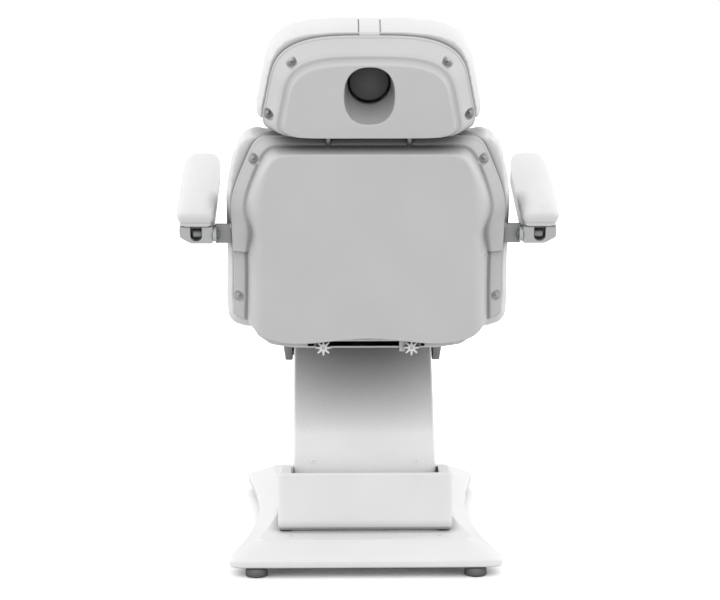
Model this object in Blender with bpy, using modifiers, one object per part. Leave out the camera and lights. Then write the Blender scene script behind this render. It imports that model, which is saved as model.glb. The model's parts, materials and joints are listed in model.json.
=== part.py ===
"""Electric facial bed with its backrest raised, in metres, +Z up, the floor at z = 0.

+Y runs from the head end to the foot end, and +X is to the right when the bed is seen from behind.
The base, seat and legrest are drawn in bed coordinates, whose y starts at the base's rear edge.
The backrest, headrest and armrests are drawn upright about the back hinge and lean with its pivot.
The lift arm and the parallel link are drawn along +Y from their lower pivots.
"""
import math

import bmesh
import bpy
from mathutils import Matrix, Vector

# Clearances
GAP = 0.0003             # between pieces that seat on each other
SWING_GAP = 0.004        # beside a piece that swings past another
CUSHION_GAP = 0.008      # between the ends of neighbouring cushions

# Sheet and section sizes
WALL = 0.003             # moulded shells
RING_POINTS = 32         # points round a moulded or upholstered outline
CORNER_CROWDING = 0.72   # how much closer those points lie at the corners than on the sides
ROUND_SIDES = 16         # sides of a round bar
EDGE_ROUND = 0.003       # rounding of a steel tube's edges

# Posture at rest
BACK_LEAN = math.radians(17.5)
SEAT_TOP = 0.720
BACK_RECLINE = math.radians(70)
LEG_DROP = math.radians(50)
LIFT_SWING = math.radians(34)

# Cushions
CUSHION = 0.100
CUSHION_HALF = 0.327
CUSHION_EDGE = 0.024     # rounding of a cushion's front edge
BOARD_EDGE = 0.008       # rounding where the cover wraps the board behind it
CROWN = 0.010
WAIST = 0.004            # how far a cushion's sides draw in between its corners
SEAT_LENGTH = 0.550
LEG_LENGTH = 0.500       # from the leg hinge to the foot end
LEG_TAPER = 0.018
BACK_HINGE_Y = -0.040

# Backrest outline, upright about its hinge
BACK_TOP = 0.456
SHOULDER_START = 0.265
SHOULDER_END = 0.500
SHOULDER_DRAW = 0.062    # of the shell
SOFT_SHOULDER_DRAW = 0.036
BACK_SHELL_MARGIN = 0.016
SEAT_SHELL_MARGIN = 0.050
BOWL_INSET = 0.076       # of the seat and leg shells' floors
SHELL_DEPTH = 0.065      # from the cushion's rear face to the panel
FLANGE_WIDTH = 0.033
FLANGE_DEPTH = 0.016
PANEL_INSET = 0.082
PANEL_END_INSET = 0.028
LOBE_X = 0.165           # lower edge of the back shell: two lobes with an arch between
LOBE_DROP = 0.0405
ARCH_DROP = 0.0265
FLANGE_FOOT = 0.045
POCKET_RADIUS = 0.0075
BACK_POCKETS = ((0.257, 0.398), (0.296, 0.056))

# Headrest
HEAD_LOW = 0.472
HEAD_HIGH = 0.700
HEAD_LOW_HALF = 0.260
HEAD_HIGH_HALF = 0.214
HEAD_CORNER = (3.4, 8)
FACE_SLOT_CORNER = (5, 5)
HEAD_SHELL_MARGIN = 0.019
HEAD_SHELL_TOP_MARGIN = 0.019
HEAD_SHELL_HANG = 0.0135  # how far the shell reaches below the cushion
HEAD_PANEL_INSET = 0.052
HEAD_PANEL_TOP_INSET = 0.056
HEAD_FLANGE_TOP_INSET = 0.050
HEAD_PANEL_LOW_INSET = 0.003
HEAD_LIFT = 0.080
HEAD_POCKETS = ((0.170, 0.630), (0.222, 0.505))
FACE_SLOT_HALF = 0.055
FACE_SLOT_LOW = 0.4936
FACE_SLOT_HIGH = 0.636
FACE_HOLE_RADIUS = 0.046
FACE_HOLE_Z = 0.571
PLUG_LENGTH = 0.094
STRAP_WIDTH = 0.032
STRAP_THICK = 0.0025
PILLOW_HALF = 0.140
PILLOW_RADIUS = 0.042
PILLOW_Z = 0.512
POST_X = 0.090
POST_RADIUS = 0.008
POST_LOW = 0.230
POST_PLATE_HALF = 0.026
POST_PLATE = 0.011
POST_PLATE_LOW = 0.500
POST_PLATE_HIGH = 0.600

# Steel tubes of the seat, backrest and legrest
TUBE = 0.030
TUBE_DEEP = 0.035
SEAT_RAIL_OUT = 0.0175   # from an ear's inner face to the middle of the seat rail above it
BACK_RAIL_X = 0.1175
BACK_CROSSES = (0.255, 0.385)
LUG_THICK = 0.012
LUG_RADIUS = 0.016
LUG_INNER = 0.1115       # inner face of the backrest's and legrest's lugs; the seat's lie outside them
LUG_CORNER = 0.036       # where a lug bends up to its hinge, from the axis
PIN_RADIUS = 0.006
LEVER = 0.085
LEVER_PIN_RADIUS = 0.005

# Armrests
BAR_Z = 0.214
BAR_HEIGHT = 0.046
BAR_THICK = 0.008
BAR_OUT = 0.346
SPIGOT_RADIUS = 0.010
SPIGOT_LENGTH = 0.050
REST_X = 0.389
REST_PAD_HALF = 0.047
REST_PAD_THICK = 0.045
REST_PAD_LOW = 0.236
REST_EDGE = (0.006, 0.016)
REST_CROWN = 0.004
REST_HOUSING_HALF = 0.038
REST_HOUSING_LOW = 0.194
REST_CHAMFER = 0.016
REST_REAR = -0.085
REST_FRONT = 0.290
REST_HOUSING_SHORT = 0.012
HOUSING_SCREW_RADIUS = 0.010
HOUSING_SCREW_DEPTH = 0.008

# Lift: lower and upper pivots of the main arm, as (y, z)
ARM_FOOT = Vector((0.225, 0.175))
ARM_HEAD = Vector((0.525, 0.465))
LINK_OFFSET = 0.065
ARM_HALF = 0.165
ARM_BELOW = 0.022
SHAFT_RADIUS = 0.011
COVER_SIDE = 0.014       # from the arm's side to the outside of its cover
COVER_TOP = 0.048
COVER_SKIRT = 0.030
LINK_HALF = 0.030
LINK_RADIUS = 0.014
LIFT_LEVER = 0.120
LIFT_LEVER_X = 0.046
EAR_PLAY = 0.0045        # from the cover to an ear
EAR_TOP_THICK = 0.037
EAR_FOOT_THICK = 0.019
EAR_BEHIND = 0.030       # from the arm pin to an ear's rear edge
EAR_AHEAD = 0.022        # from the link pin to its front edge
EAR_DROP = 0.022         # from the pins to its foot
EAR_CORNER = 0.016

# Base
BASE_LENGTH = 0.930
BASE_REAR_HALF = 0.344
BASE_WAIST_HALF = 0.274
BASE_FRONT_HALF = 0.328
BASE_CORNER = 20
RIM_LOW = 0.024
RIM_HEIGHT = 0.020
RAMP_WIDTH = 0.058
BASE_TOP = 0.079
HOUSING_REAR = 0.140
HOUSING_FRONT = 0.400
CHEEK_WIDTH = 0.033
HOUSING_TOP = 0.2265
HOUSING_FRONT_TOP = 0.176
CHEEK_RISE = 0.003
CHEEK_CREST = 0.205      # y where a cheek's top starts to fall towards the front
CHEEK_WALL = 0.006
COVER_PLAY = 0.0035      # from the arm cover to a cheek
HOUSING_WALL = 0.0035
HOUSING_ROUND = 0.010
BASE_TUBE = 0.022
BASE_RAIL_OUT = 0.0205   # from a cheek's inner face to the middle of the rail under it
BASE_RAIL_HALF = 0.020
CROSS_REAR = 0.029
CROSS_FRONT = 0.885
CROSS_HALF = 0.2785
CROSS_FRONT_HALF = 0.262
CROSS_DEEP = 0.020
FOOT_RADIUS = 0.027
FOOT_HEIGHT = 0.012
FOOT_MARGIN = 0.006      # from a foot's stud axis to the end of its cross tube, less the stud
STUD_RADIUS = 0.007
BOSS_RADIUS = 0.008      # moulded bosses under the cover that stand on the rails
BOSSES = (0.110, 0.780)
PLATE_THICK = 0.010
PLATE_MARGIN = 0.026
PLATE_RISE = 0.016
BOX_LENGTH = 0.200
BOX_REAR = 0.520
BOX_WIDTH = 0.110
BOX_HEIGHT = 0.040

# Motors: a tube that the rod slides in, and a gear case beside it
ROD_RADIUS = 0.009
MOTOR_RADIUS = 0.016
MOTOR_LENGTH = 0.270
CASE_WIDTH = 0.046
CASE_INNER = 0.0145
BRACKET_HALF = 0.011
BRACKET_RISE = 0.010
CASE_LENGTH = 0.080
YOKE_THICK = 0.018
YOKE_WALL = 0.005
YOKE_PLAY = 0.0022
BACK_MOTOR_X = 0.083
LEG_MOTOR_X = -0.045
LIFT_MOTOR_X = 0.026

# Worked out from the sizes above
HINGE_Z = SEAT_TOP - CUSHION / 2
COVER_HALF = ARM_HALF + COVER_SIDE
CHEEK_INNER = COVER_HALF + COVER_PLAY
HOUSING_HALF = CHEEK_INNER + CHEEK_WIDTH
BASE_RAIL_X = CHEEK_INNER + BASE_RAIL_OUT
EAR_INNER = COVER_HALF + EAR_PLAY
EAR_REAR = ARM_HEAD.x - EAR_BEHIND
EAR_FRONT = ARM_HEAD.x + LINK_OFFSET + EAR_AHEAD
EAR_FOOT = ARM_HEAD.y - EAR_DROP
SEAT_RAIL_X = EAR_INNER + SEAT_RAIL_OUT
LEG_HINGE_Y = BACK_HINGE_Y + CUSHION + 2 * CUSHION_GAP + SEAT_LENGTH
ARM = ARM_HEAD - ARM_FOOT
ARM_LENGTH = ARM.length
ARM_ANGLE = math.atan2(ARM.y, ARM.x)
LIFT_REST = -LIFT_SWING / 2
SHELL_RIM = CUSHION / 2 + GAP
PANEL_Y = -(CUSHION / 2 + SHELL_DEPTH)
SEAT_FLOOR = SEAT_TOP - CUSHION - GAP
FRAME_LOW = SEAT_FLOOR - TUBE_DEEP
BASE_FLOOR = RIM_LOW + BASE_TUBE
BACK_ROD_Z = HINGE_Z - LEVER * (1 + math.cos(BACK_RECLINE / 2)) / 2
LEG_ROD_Z = HINGE_Z - LEVER * (1 + math.cos(LEG_DROP / 2)) / 2
LIFT_ROD_Z = ARM_FOOT.y - LIFT_LEVER * (1 + math.cos(LIFT_SWING / 2)) / 2
HEAD_SHELL_LOW = HEAD_LOW - HEAD_SHELL_HANG
HEAD_SHELL_HIGH = HEAD_HIGH - HEAD_SHELL_TOP_MARGIN
HEAD_PANEL_HIGH = HEAD_SHELL_HIGH - HEAD_PANEL_TOP_INSET
SEAT_REAR = BACK_HINGE_Y + CUSHION / 2 + CUSHION_GAP
SEAT_FRONT = LEG_HINGE_Y - CUSHION / 2 - CUSHION_GAP
SEAT_SHELL_REAR = SEAT_REAR + CUSHION_GAP
SEAT_SHELL_FRONT = SEAT_FRONT - 4 * CUSHION_GAP
REAR_CROSS_Y = SEAT_SHELL_REAR + PANEL_END_INSET + 2 * WALL
FRONT_CROSS_Y = SEAT_FRONT - 2 * TUBE
LEG_FRAME_REAR = LEG_HINGE_Y + CUSHION + TUBE
LUG_DROP = CUSHION / 2 + GAP + TUBE_DEEP / 2
SEAT_LUG_INNER = LUG_INNER + LUG_THICK + GAP
LUG_OUTER = SEAT_LUG_INNER + LUG_THICK
BED_REAR = BACK_HINGE_Y + PANEL_Y * math.cos(BACK_LEAN) - HEAD_PANEL_HIGH * math.sin(BACK_LEAN)
BED_FRONT = LEG_HINGE_Y + LEG_LENGTH
BED_CENTRE = (BED_REAR + BED_FRONT) / 2

FINISHES = {
    "white_vinyl": ((0.86, 0.86, 0.85), 0.45, 0.0),
    "pale_grey_shell": ((0.52, 0.52, 0.53), 0.42, 0.0),
    "white_plastic": ((0.80, 0.80, 0.80), 0.38, 0.0),
    "white_paint": ((0.74, 0.74, 0.74), 0.40, 0.0),
    "grey_paint": ((0.22, 0.22, 0.23), 0.45, 0.2),
    "grey_plastic": ((0.40, 0.40, 0.41), 0.45, 0.0),
    "foot_rubber": ((0.17, 0.17, 0.18), 0.80, 0.0),
    "bright_steel": ((0.62, 0.62, 0.63), 0.28, 1.0),
    "dark_foam": ((0.06, 0.06, 0.065), 0.70, 0.0),
    "motor_black": ((0.03, 0.03, 0.032), 0.50, 0.0),
}


# Scene helpers

def clear_scene():
    for obj in list(bpy.data.objects):
        bpy.data.objects.remove(obj, do_unlink=True)


def new_collection(name):
    group = bpy.data.collections.new(name)
    bpy.context.scene.collection.children.link(group)
    return group


def finish(name):
    """The named finish as a material, made once."""
    found = bpy.data.materials.get(name)
    if found:
        return found
    colour, roughness, metallic = FINISHES[name]
    made = bpy.data.materials.new(name)
    made.use_nodes = True
    shader = made.node_tree.nodes["Principled BSDF"]
    shader.inputs["Base Color"].default_value = (*colour, 1.0)
    shader.inputs["Roughness"].default_value = roughness
    shader.inputs["Metallic"].default_value = metallic
    return made


def pivot(name, parent, location, turn=0.0):
    """An empty on a joint's axis, turned about X; drawn pieces hang under it."""
    empty = bpy.data.objects.new(name, None)
    parts.objects.link(empty)
    empty.parent = parent
    empty.location = location
    empty.rotation_euler = (turn, 0.0, 0.0)
    return empty


def to_mesh(name, bm):
    bmesh.ops.remove_doubles(bm, verts=bm.verts, dist=1e-6)
    bmesh.ops.recalc_face_normals(bm, faces=bm.faces)
    mesh = bpy.data.meshes.new(name)
    bm.to_mesh(mesh)
    bm.free()
    return mesh


def piece(name, bm, material, parent, offset=(0.0, 0.0, 0.0), smooth=True):
    """One sub-part of the bed, drawn about its pivot less the offset."""
    mesh = to_mesh(name, bm)
    if smooth:
        mesh.shade_smooth()
        mesh.set_sharp_from_angle(angle=math.radians(35))
    obj = bpy.data.objects.new(name, mesh)
    mesh.materials.append(finish(material))
    parts.objects.link(obj)
    obj.parent = parent
    obj.location = -Vector(offset)
    return obj


def tool(obj, name, bm, operation="DIFFERENCE"):
    """A hidden shape that cuts, or is joined to, one piece, in the piece's own coordinates."""
    cutter = bpy.data.objects.new(name, to_mesh(name, bm))
    tools.objects.link(cutter)
    cutter.hide_render = True
    cutter.display_type = "WIRE"
    cutter.parent = obj.parent
    cutter.location = obj.location
    step = obj.modifiers.new(name, "BOOLEAN")
    step.operation = operation
    step.solver = "EXACT"
    step.object = cutter
    return cutter


def join(obj, name, bm):
    return tool(obj, name, bm, "UNION")


def rounded(obj, width, segments=1):
    step = obj.modifiers.new("rounded_edges", "BEVEL")
    step.width = width
    step.segments = segments
    step.limit_method = "ANGLE"
    step.angle_limit = math.radians(40)
    return obj


def shell_wall(obj, thickness):
    step = obj.modifiers.new("wall", "SOLIDIFY")
    step.thickness = thickness
    step.offset = -1.0
    step.use_even_offset = True
    return obj


# Shapes

def block(x, y, z):
    """A box from its (low, high) limits along each axis."""
    bm = bmesh.new()
    spans = [Vector(limits) for limits in (x, y, z)]
    size = Matrix.Diagonal([*(high - low for low, high in spans), 1.0])
    centre = Matrix.Translation([(low + high) / 2 for low, high in spans])
    bmesh.ops.create_cube(bm, size=1.0, matrix=centre @ size)
    return bm


def bar(radius, start, end, sides=ROUND_SIDES):
    """A round bar between two points."""
    bm = bmesh.new()
    start, end = Vector(start), Vector(end)
    run = end - start
    turn = run.to_track_quat("Z", "Y").to_matrix().to_4x4()
    place = Matrix.Translation((start + end) / 2) @ turn
    bmesh.ops.create_cone(bm, cap_ends=True, segments=sides, radius1=radius, radius2=radius,
                          depth=run.length, matrix=place)
    return bm


def prism(outline, across):
    """A flat outline given as points, carried along the vector that leads to its far side."""
    bm = bmesh.new()
    face = bm.faces.new([bm.verts.new(point) for point in outline])
    made = bmesh.ops.extrude_face_region(bm, geom=[face])
    moved = [item for item in made["geom"] if isinstance(item, bmesh.types.BMVert)]
    bmesh.ops.translate(bm, verts=moved, vec=across)
    return bm


def side_plate(x, outline):
    """A plate from a side outline of (y, z) points, between two x."""
    return prism([(x[0], y, z) for y, z in outline], (x[1] - x[0], 0.0, 0.0))


def strap_outline(first, second, radius, steps=4):
    """A bar's outline with round ends about two (y, z) points."""
    first, second = Vector(first), Vector(second)
    along = math.atan2(second.y - first.y, second.x - first.x)
    turns = [along + math.pi / 2 + math.pi * i / steps for i in range(steps + 1)]
    ends = [(first, angle) for angle in turns] + [(second, angle + math.pi) for angle in turns]
    return [(end.x + radius * math.cos(angle), end.y + radius * math.sin(angle)) for end, angle in ends]


def ring(place, level, low, high, half_width, corner):
    """A closed outline between two ends of a length: a rounded box whose half width follows its length.

    corner holds the exponents of the high and the low end, where a larger one is squarer.
    """
    centre, half_length = (low + high) / 2, (high - low) / 2
    points = []
    for i in range(RING_POINTS):
        even = math.tau * i / RING_POINTS
        angle = even + CORNER_CROWDING * math.sin(4 * even) / 4
        c, s = math.cos(angle), math.sin(angle)
        power = corner[0] if s >= 0 else corner[1]
        reach = (abs(c) ** power + abs(s) ** power) ** (-1 / power)
        along = centre + half_length * reach * s
        points.append(place(half_width(along) * reach * c, along, level))
    return points


def loft(rings, cap_first=True, cap_last=True):
    """Faces between outlines of as many points, with the ends closed or left open."""
    bm = bmesh.new()
    rows = [[bm.verts.new(point) for point in points] for points in rings]
    count = len(rows[0])
    for near, far in zip(rows, rows[1:]):
        for i in range(count):
            j = (i + 1) % count
            bm.faces.new((near[i], near[j], far[j], far[i]))
    if cap_first:
        bm.faces.new(rows[0])
    if cap_last:
        bm.faces.new(rows[-1])
    return bm


def flat_lie(x, along, level):
    return Vector((x, along, level))


def upright(x, along, level):
    return Vector((x, level, along))


def ease(value):
    """Smooth step from 0 to 1."""
    value = min(max(value, 0.0), 1.0)
    return value * value * (3 - 2 * value)


SOFT_EDGE = (BOARD_EDGE, CUSHION_EDGE)
HINGE_END = (CUSHION / 2, CUSHION / 2)


def pad(place, low, high, half_width, middle, thick, ends, edge=SOFT_EDGE, crown=CROWN, corner=(9, 9)):
    """A crowned cushion: ends holds the (rear, front) roundings of its two ends, edge those of its sides."""
    bottom, top = middle - thick / 2, middle + thick / 2

    def drawn(roundness, level):
        rear, front = roundness
        deep = max((bottom + rear - level) / rear, (level - top + front) / front, 0.0)
        radius = rear if level < middle else front
        return radius * (1 - math.sqrt(max(1 - deep * deep, 0.0)))

    rear, front = edge
    levels = (bottom, bottom + 0.4 * rear, bottom + rear, middle, top - front, top - 0.4 * front, top)
    rings = []
    for level in levels:
        rings.append(ring(place, level, low + drawn(ends[0], level), high - drawn(ends[1], level),
                          lambda along, level=level: half_width(along) - drawn(edge, level), corner))
    inner_low, inner_high = low + ends[0][1], high - ends[1][1]
    centre, half = (inner_low + inner_high) / 2, (inner_high - inner_low) / 2
    for share in (0.84, 0.5):
        rings.append(ring(place, top + crown * (1 - share ** 2), centre - share * half, centre + share * half,
                          lambda along, share=share: share * (half_width(along) - front), corner))
    return loft(rings)


def bowl_steps(rim, depth, inset, end_inset, count=4):
    """Steps of a bowl: an upright rim, then a quarter ellipse down to its floor."""
    turns = [math.pi / 2 * i / (count - 1) for i in range(count)]
    edge = 2 * WALL
    curve = [(inset * (1 - math.cos(a)), end_inset * (1 - math.cos(a)), end_inset * (1 - math.cos(a)),
              rim - edge - (depth - edge) * math.sin(a)) for a in turns]
    return [(0.0, 0.0, 0.0, rim)] + curve


def tray(place, steps, half_width, low, high, corner, cap=True):
    """A moulded tray as an open surface: steps are (side inset, low inset, high inset, level)."""
    rings = []
    for side, low_inset, high_inset, level in steps:
        rings.append(ring(place, level, low + low_inset, high - high_inset,
                          lambda along, side=side: half_width(along) - side, corner))
    return loft(rings, cap_first=False, cap_last=cap)


def tray_steps(rim, outward, depth, panel_inset, low_inset, high_inset, flange_high=None):
    """Rim, flange, valley and panel of a moulded tray, with eased edges, from the rim outwards."""
    flange = rim + outward * FLANGE_DEPTH
    panel = rim + outward * depth
    share = FLANGE_WIDTH / panel_inset
    valley = (FLANGE_WIDTH, low_inset * share, flange_high or high_inset * share)
    floor = (panel_inset, low_inset, high_inset)
    steps = [(0.0, 0.0, 0.0, rim), (0.0, 0.0, 0.0, flange - outward * EDGE_ROUND),
             (EDGE_ROUND, low_inset * 0.1, EDGE_ROUND, flange)]
    for along, rise in ((0.0, 0.0), (0.16, 0.10), (0.82, 0.90), (1.0, 1.0)):
        insets = [near + along * (far - near) for near, far in zip(valley, floor)]
        steps.append((*insets, flange + rise * (panel - flange)))
    return steps


def waisted(half, low, high):
    """A half width that draws in a little between its two ends."""
    return lambda along: half - WAIST * math.sin(math.pi * min(max((along - low) / (high - low), 0.0), 1.0))


def both_sides(make):
    """Runs a maker for the left (-1) and right (+1) side."""
    for name, side in (("left", -1), ("right", 1)):
        make(name, side)


def span(side, inner, outer):
    """The x limits of something between two distances from the middle, on one side."""
    return tuple(sorted((side * inner, side * outer)))


# Base

def base_half(along):
    """Half width of the base cover, drawn in to a waist."""
    share = 2 * along / BASE_LENGTH - 1
    end = BASE_REAR_HALF if share < 0 else BASE_FRONT_HALF
    return BASE_WAIST_HALF + (end - BASE_WAIST_HALF) * min(abs(share), 1.0) ** 1.8


def make_base_cover():
    rim_top = RIM_LOW + RIM_HEIGHT
    levels = ((0.0, RIM_LOW), (0.0, rim_top - 0.005), (0.004, rim_top),
              (RAMP_WIDTH, BASE_TOP - 0.002), (RAMP_WIDTH + 0.012, BASE_TOP))
    rings = [ring(flat_lie, level, inset, BASE_LENGTH - inset,
                  lambda along, inset=inset: base_half(along) - inset, (BASE_CORNER, BASE_CORNER))
             for inset, level in levels]
    cover = shell_wall(piece("base_cover", loft(rings, cap_first=False), "white_plastic", root), WALL)
    tool(cover, "base_cover_opening", block((-CHEEK_INNER, CHEEK_INNER),
                                            (HOUSING_REAR + HOUSING_WALL, HOUSING_FRONT - HOUSING_WALL),
                                            (RIM_LOW, HOUSING_TOP)))
    both_sides(lambda name, side: tool(cover, f"plate_opening_{name}", block(
        span(side, CHEEK_INNER - GAP, CHEEK_INNER + 2 * HOUSING_WALL + PLATE_THICK),
        (HOUSING_REAR + HOUSING_WALL, HOUSING_FRONT - HOUSING_WALL), (RIM_LOW, HOUSING_TOP))))
    boss = (BASE_FLOOR + GAP, BASE_TOP - WALL / 2)
    for y in BOSSES:
        both_sides(lambda name, side: join(cover, f"boss_{name}_{y:.2f}", bar(
            BOSS_RADIUS, (side * BASE_RAIL_X, y, boss[0]), (side * BASE_RAIL_X, y, boss[1]), 12)))


def housing_side(inset):
    """Side outline of the pivot housing, drawn in by a wall: level at the rear, falling towards the front."""
    top = HOUSING_TOP + CHEEK_RISE - inset
    rear, front = HOUSING_REAR + inset, HOUSING_FRONT - inset
    low = BASE_TOP + GAP - (SWING_GAP if inset else 0.0)
    return [(rear, low), (rear, top), (CHEEK_CREST, top), (front, HOUSING_FRONT_TOP - inset), (front, low)]


def make_housing():
    """Open box whose two hollow cheeks hold the tower plates, with the slot for the arm between them."""
    low, above = BASE_TOP - SWING_GAP, HOUSING_TOP + 2 * HOUSING_ROUND
    solid = side_plate((-HOUSING_HALF, HOUSING_HALF), housing_side(0.0))
    body = piece("pivot_housing", solid, "white_plastic", root)
    rounded(body, HOUSING_ROUND, 2)
    slot = (-CHEEK_INNER, CHEEK_INNER)
    inside = (HOUSING_REAR + HOUSING_WALL, HOUSING_FRONT - HOUSING_WALL)
    tool(body, "arm_slot", block(slot, inside, (low, above)))
    tool(body, "rear_wall_top", block(slot, (HOUSING_REAR - SWING_GAP, inside[0] + SWING_GAP),
                                      (HOUSING_TOP, above)))
    tool(body, "front_wall_top", block(slot, (inside[1] - SWING_GAP, HOUSING_FRONT + SWING_GAP),
                                       (HOUSING_FRONT_TOP - HOUSING_ROUND, above)))
    for name, side in (("left", -1), ("right", 1)):
        tool(body, f"cheek_hollow_{name}", side_plate(
            span(side, CHEEK_INNER + HOUSING_WALL, HOUSING_HALF - HOUSING_WALL), housing_side(CHEEK_WALL)))
    reach = CHEEK_INNER + 2 * HOUSING_WALL
    for name, y in (("arm", ARM_FOOT.x), ("link", ARM_FOOT.x + LINK_OFFSET)):
        tool(body, f"{name}_shaft_holes", bar(SHAFT_RADIUS + 2 * GAP, (-reach, y, ARM_FOOT.y),
                                              (reach, y, ARM_FOOT.y)))


def make_base_frame():
    tube = (RIM_LOW, BASE_FLOOR)
    crosses = (("rear", CROSS_REAR, CROSS_HALF), ("front", CROSS_FRONT, CROSS_FRONT_HALF))
    for name, y, half in crosses:
        solid = block((-half, half), (y - CROSS_DEEP / 2, y + CROSS_DEEP / 2), tube)
        cross = piece(f"base_cross_{name}", solid, "grey_paint", root, smooth=False)
        rounded(cross, EDGE_ROUND)
    rail_y = (CROSS_REAR + CROSS_DEEP / 2 + GAP, CROSS_FRONT - CROSS_DEEP / 2 - GAP)

    def rail(name, side):
        across = span(side, BASE_RAIL_X - BASE_RAIL_HALF, BASE_RAIL_X + BASE_RAIL_HALF)
        made = piece(f"base_rail_{name}", block(across, rail_y, tube), "grey_paint", root, smooth=False)
        rounded(made, EDGE_ROUND)

    def plate(name, side):
        inner = CHEEK_INNER + HOUSING_WALL + GAP
        made = piece(f"tower_plate_{name}", block(
            span(side, inner, inner + PLATE_THICK),
            (ARM_FOOT.x - PLATE_MARGIN, ARM_FOOT.x + LINK_OFFSET + PLATE_MARGIN),
            (BASE_FLOOR + GAP, ARM_FOOT.y + PLATE_RISE)), "grey_paint", root, smooth=False)
        rounded(made, EDGE_ROUND)
        for hole, y in (("arm", ARM_FOOT.x), ("link", ARM_FOOT.x + LINK_OFFSET)):
            near, far = side * (inner - SWING_GAP), side * (inner + PLATE_THICK + SWING_GAP)
            tool(made, f"{hole}_hole_{name}", bar(SHAFT_RADIUS + GAP, (near, y, ARM_FOOT.y),
                                                  (far, y, ARM_FOOT.y)))

    both_sides(rail)
    both_sides(plate)
    reach = CHEEK_INNER + HOUSING_WALL + GAP + PLATE_THICK
    for name, y in (("lift_shaft", ARM_FOOT.x), ("link_shaft", ARM_FOOT.x + LINK_OFFSET)):
        piece(name, bar(SHAFT_RADIUS, (-reach, y, ARM_FOOT.y), (reach, y, ARM_FOOT.y)), "bright_steel", root)


def make_feet():
    """Rubber levelling feet, each with its stud up to the cross tube."""
    for end, y, half in (("rear", CROSS_REAR, CROSS_HALF), ("front", CROSS_FRONT, CROSS_FRONT_HALF)):
        x = half - STUD_RADIUS - FOOT_MARGIN
        for name, side in (("left", -1), ("right", 1)):
            disc = bar(FOOT_RADIUS, (side * x, y, 0.0), (side * x, y, FOOT_HEIGHT))
            foot = piece(f"foot_{end}_{name}", disc, "foot_rubber", root)
            rounded(foot, EDGE_ROUND)
            join(foot, f"stud_{end}_{name}", bar(STUD_RADIUS, (side * x, y, FOOT_HEIGHT / 2),
                                                 (side * x, y, RIM_LOW - GAP), 12))


def make_control_box():
    edge = BASE_RAIL_X - BASE_RAIL_HALF - GAP
    low = RIM_LOW + SWING_GAP
    solid = block((edge - BOX_WIDTH, edge), (BOX_REAR, BOX_REAR + BOX_LENGTH), (low, low + BOX_HEIGHT))
    rounded(piece("control_box", solid, "motor_black", root), EDGE_ROUND)


# Motors

def make_motor(name, parent, offset, x, z, mouth, tail, case_side, tail_z):
    """Motor tube with its gear case: the rod enters at mouth, and a bracket runs on to the frame at tail."""
    away = math.copysign(1.0, tail - mouth)
    end = mouth + away * MOTOR_LENGTH
    tube = piece(name, bar(MOTOR_RADIUS, (x, mouth, z), (x, end, z)), "motor_black", parent, offset)
    case_y = sorted((end, end - away * CASE_LENGTH))
    case_x = sorted((x - case_side * CASE_INNER, x + case_side * CASE_WIDTH))
    join(tube, f"{name}_case", block(case_x, case_y, (z - CASE_INNER, z + CASE_INNER)))
    bracket_y = sorted((end - away * MOTOR_RADIUS, tail))
    join(tube, f"{name}_bracket", block((x - BRACKET_HALF, x + BRACKET_HALF), bracket_y, tail_z))
    depth = mouth + away * (MOTOR_LENGTH - CASE_LENGTH)
    tool(tube, f"{name}_bore", bar(ROD_RADIUS + GAP, (x, mouth - away * SWING_GAP, z), (x, depth, z)))
    return tube


def make_rod(name, parent, offset, x, z, pin_y, tail, drop):
    """Rod with a yoke at its head, whose upright slot takes a lever's pin."""
    half = LEVER_PIN_RADIUS + YOKE_PLAY
    tall = drop / 2 + half
    yoke_y = (pin_y - half - YOKE_WALL, pin_y + half + YOKE_WALL)
    across = (x - YOKE_THICK / 2, x + YOKE_THICK / 2)
    rod = piece(name, block(across, yoke_y, (z - tall - YOKE_WALL, z + tall + YOKE_WALL)), "bright_steel",
                parent, offset)
    start = pin_y + math.copysign(half + YOKE_WALL / 2, tail - pin_y)
    join(rod, f"{name}_bar", bar(ROD_RADIUS, (x, start, z), (x, tail, z)))
    wide = (x - YOKE_THICK, x + YOKE_THICK)
    tool(rod, f"{name}_slot", block(wide, (pin_y - half, pin_y + half), (z - tall, z + tall)))
    return rod


def lever_drop(length, swing):
    """How far a lever's pin rises and falls as it swings evenly about straight down."""
    return length * (1 - math.cos(swing / 2))


def make_lift_motor():
    pin_y = ARM_FOOT.x + LIFT_LEVER * math.sin(LIFT_REST)
    travel = 2 * LIFT_LEVER * math.sin(LIFT_SWING / 2)
    mouth = HOUSING_FRONT
    make_rod("lift_rod", pivots["lift_rod"], (0, 0, 0), LIFT_MOTOR_X, LIFT_ROD_Z, pin_y,
             mouth + MOTOR_LENGTH - CASE_LENGTH - travel - SWING_GAP, lever_drop(LIFT_LEVER, LIFT_SWING))
    tail = CROSS_FRONT - CROSS_DEEP / 2 - GAP
    make_motor("lift_motor", root, (0, 0, 0), LIFT_MOTOR_X, LIFT_ROD_Z, mouth, tail, -1,
               (RIM_LOW + SWING_GAP, LIFT_ROD_Z + BRACKET_RISE))


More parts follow.
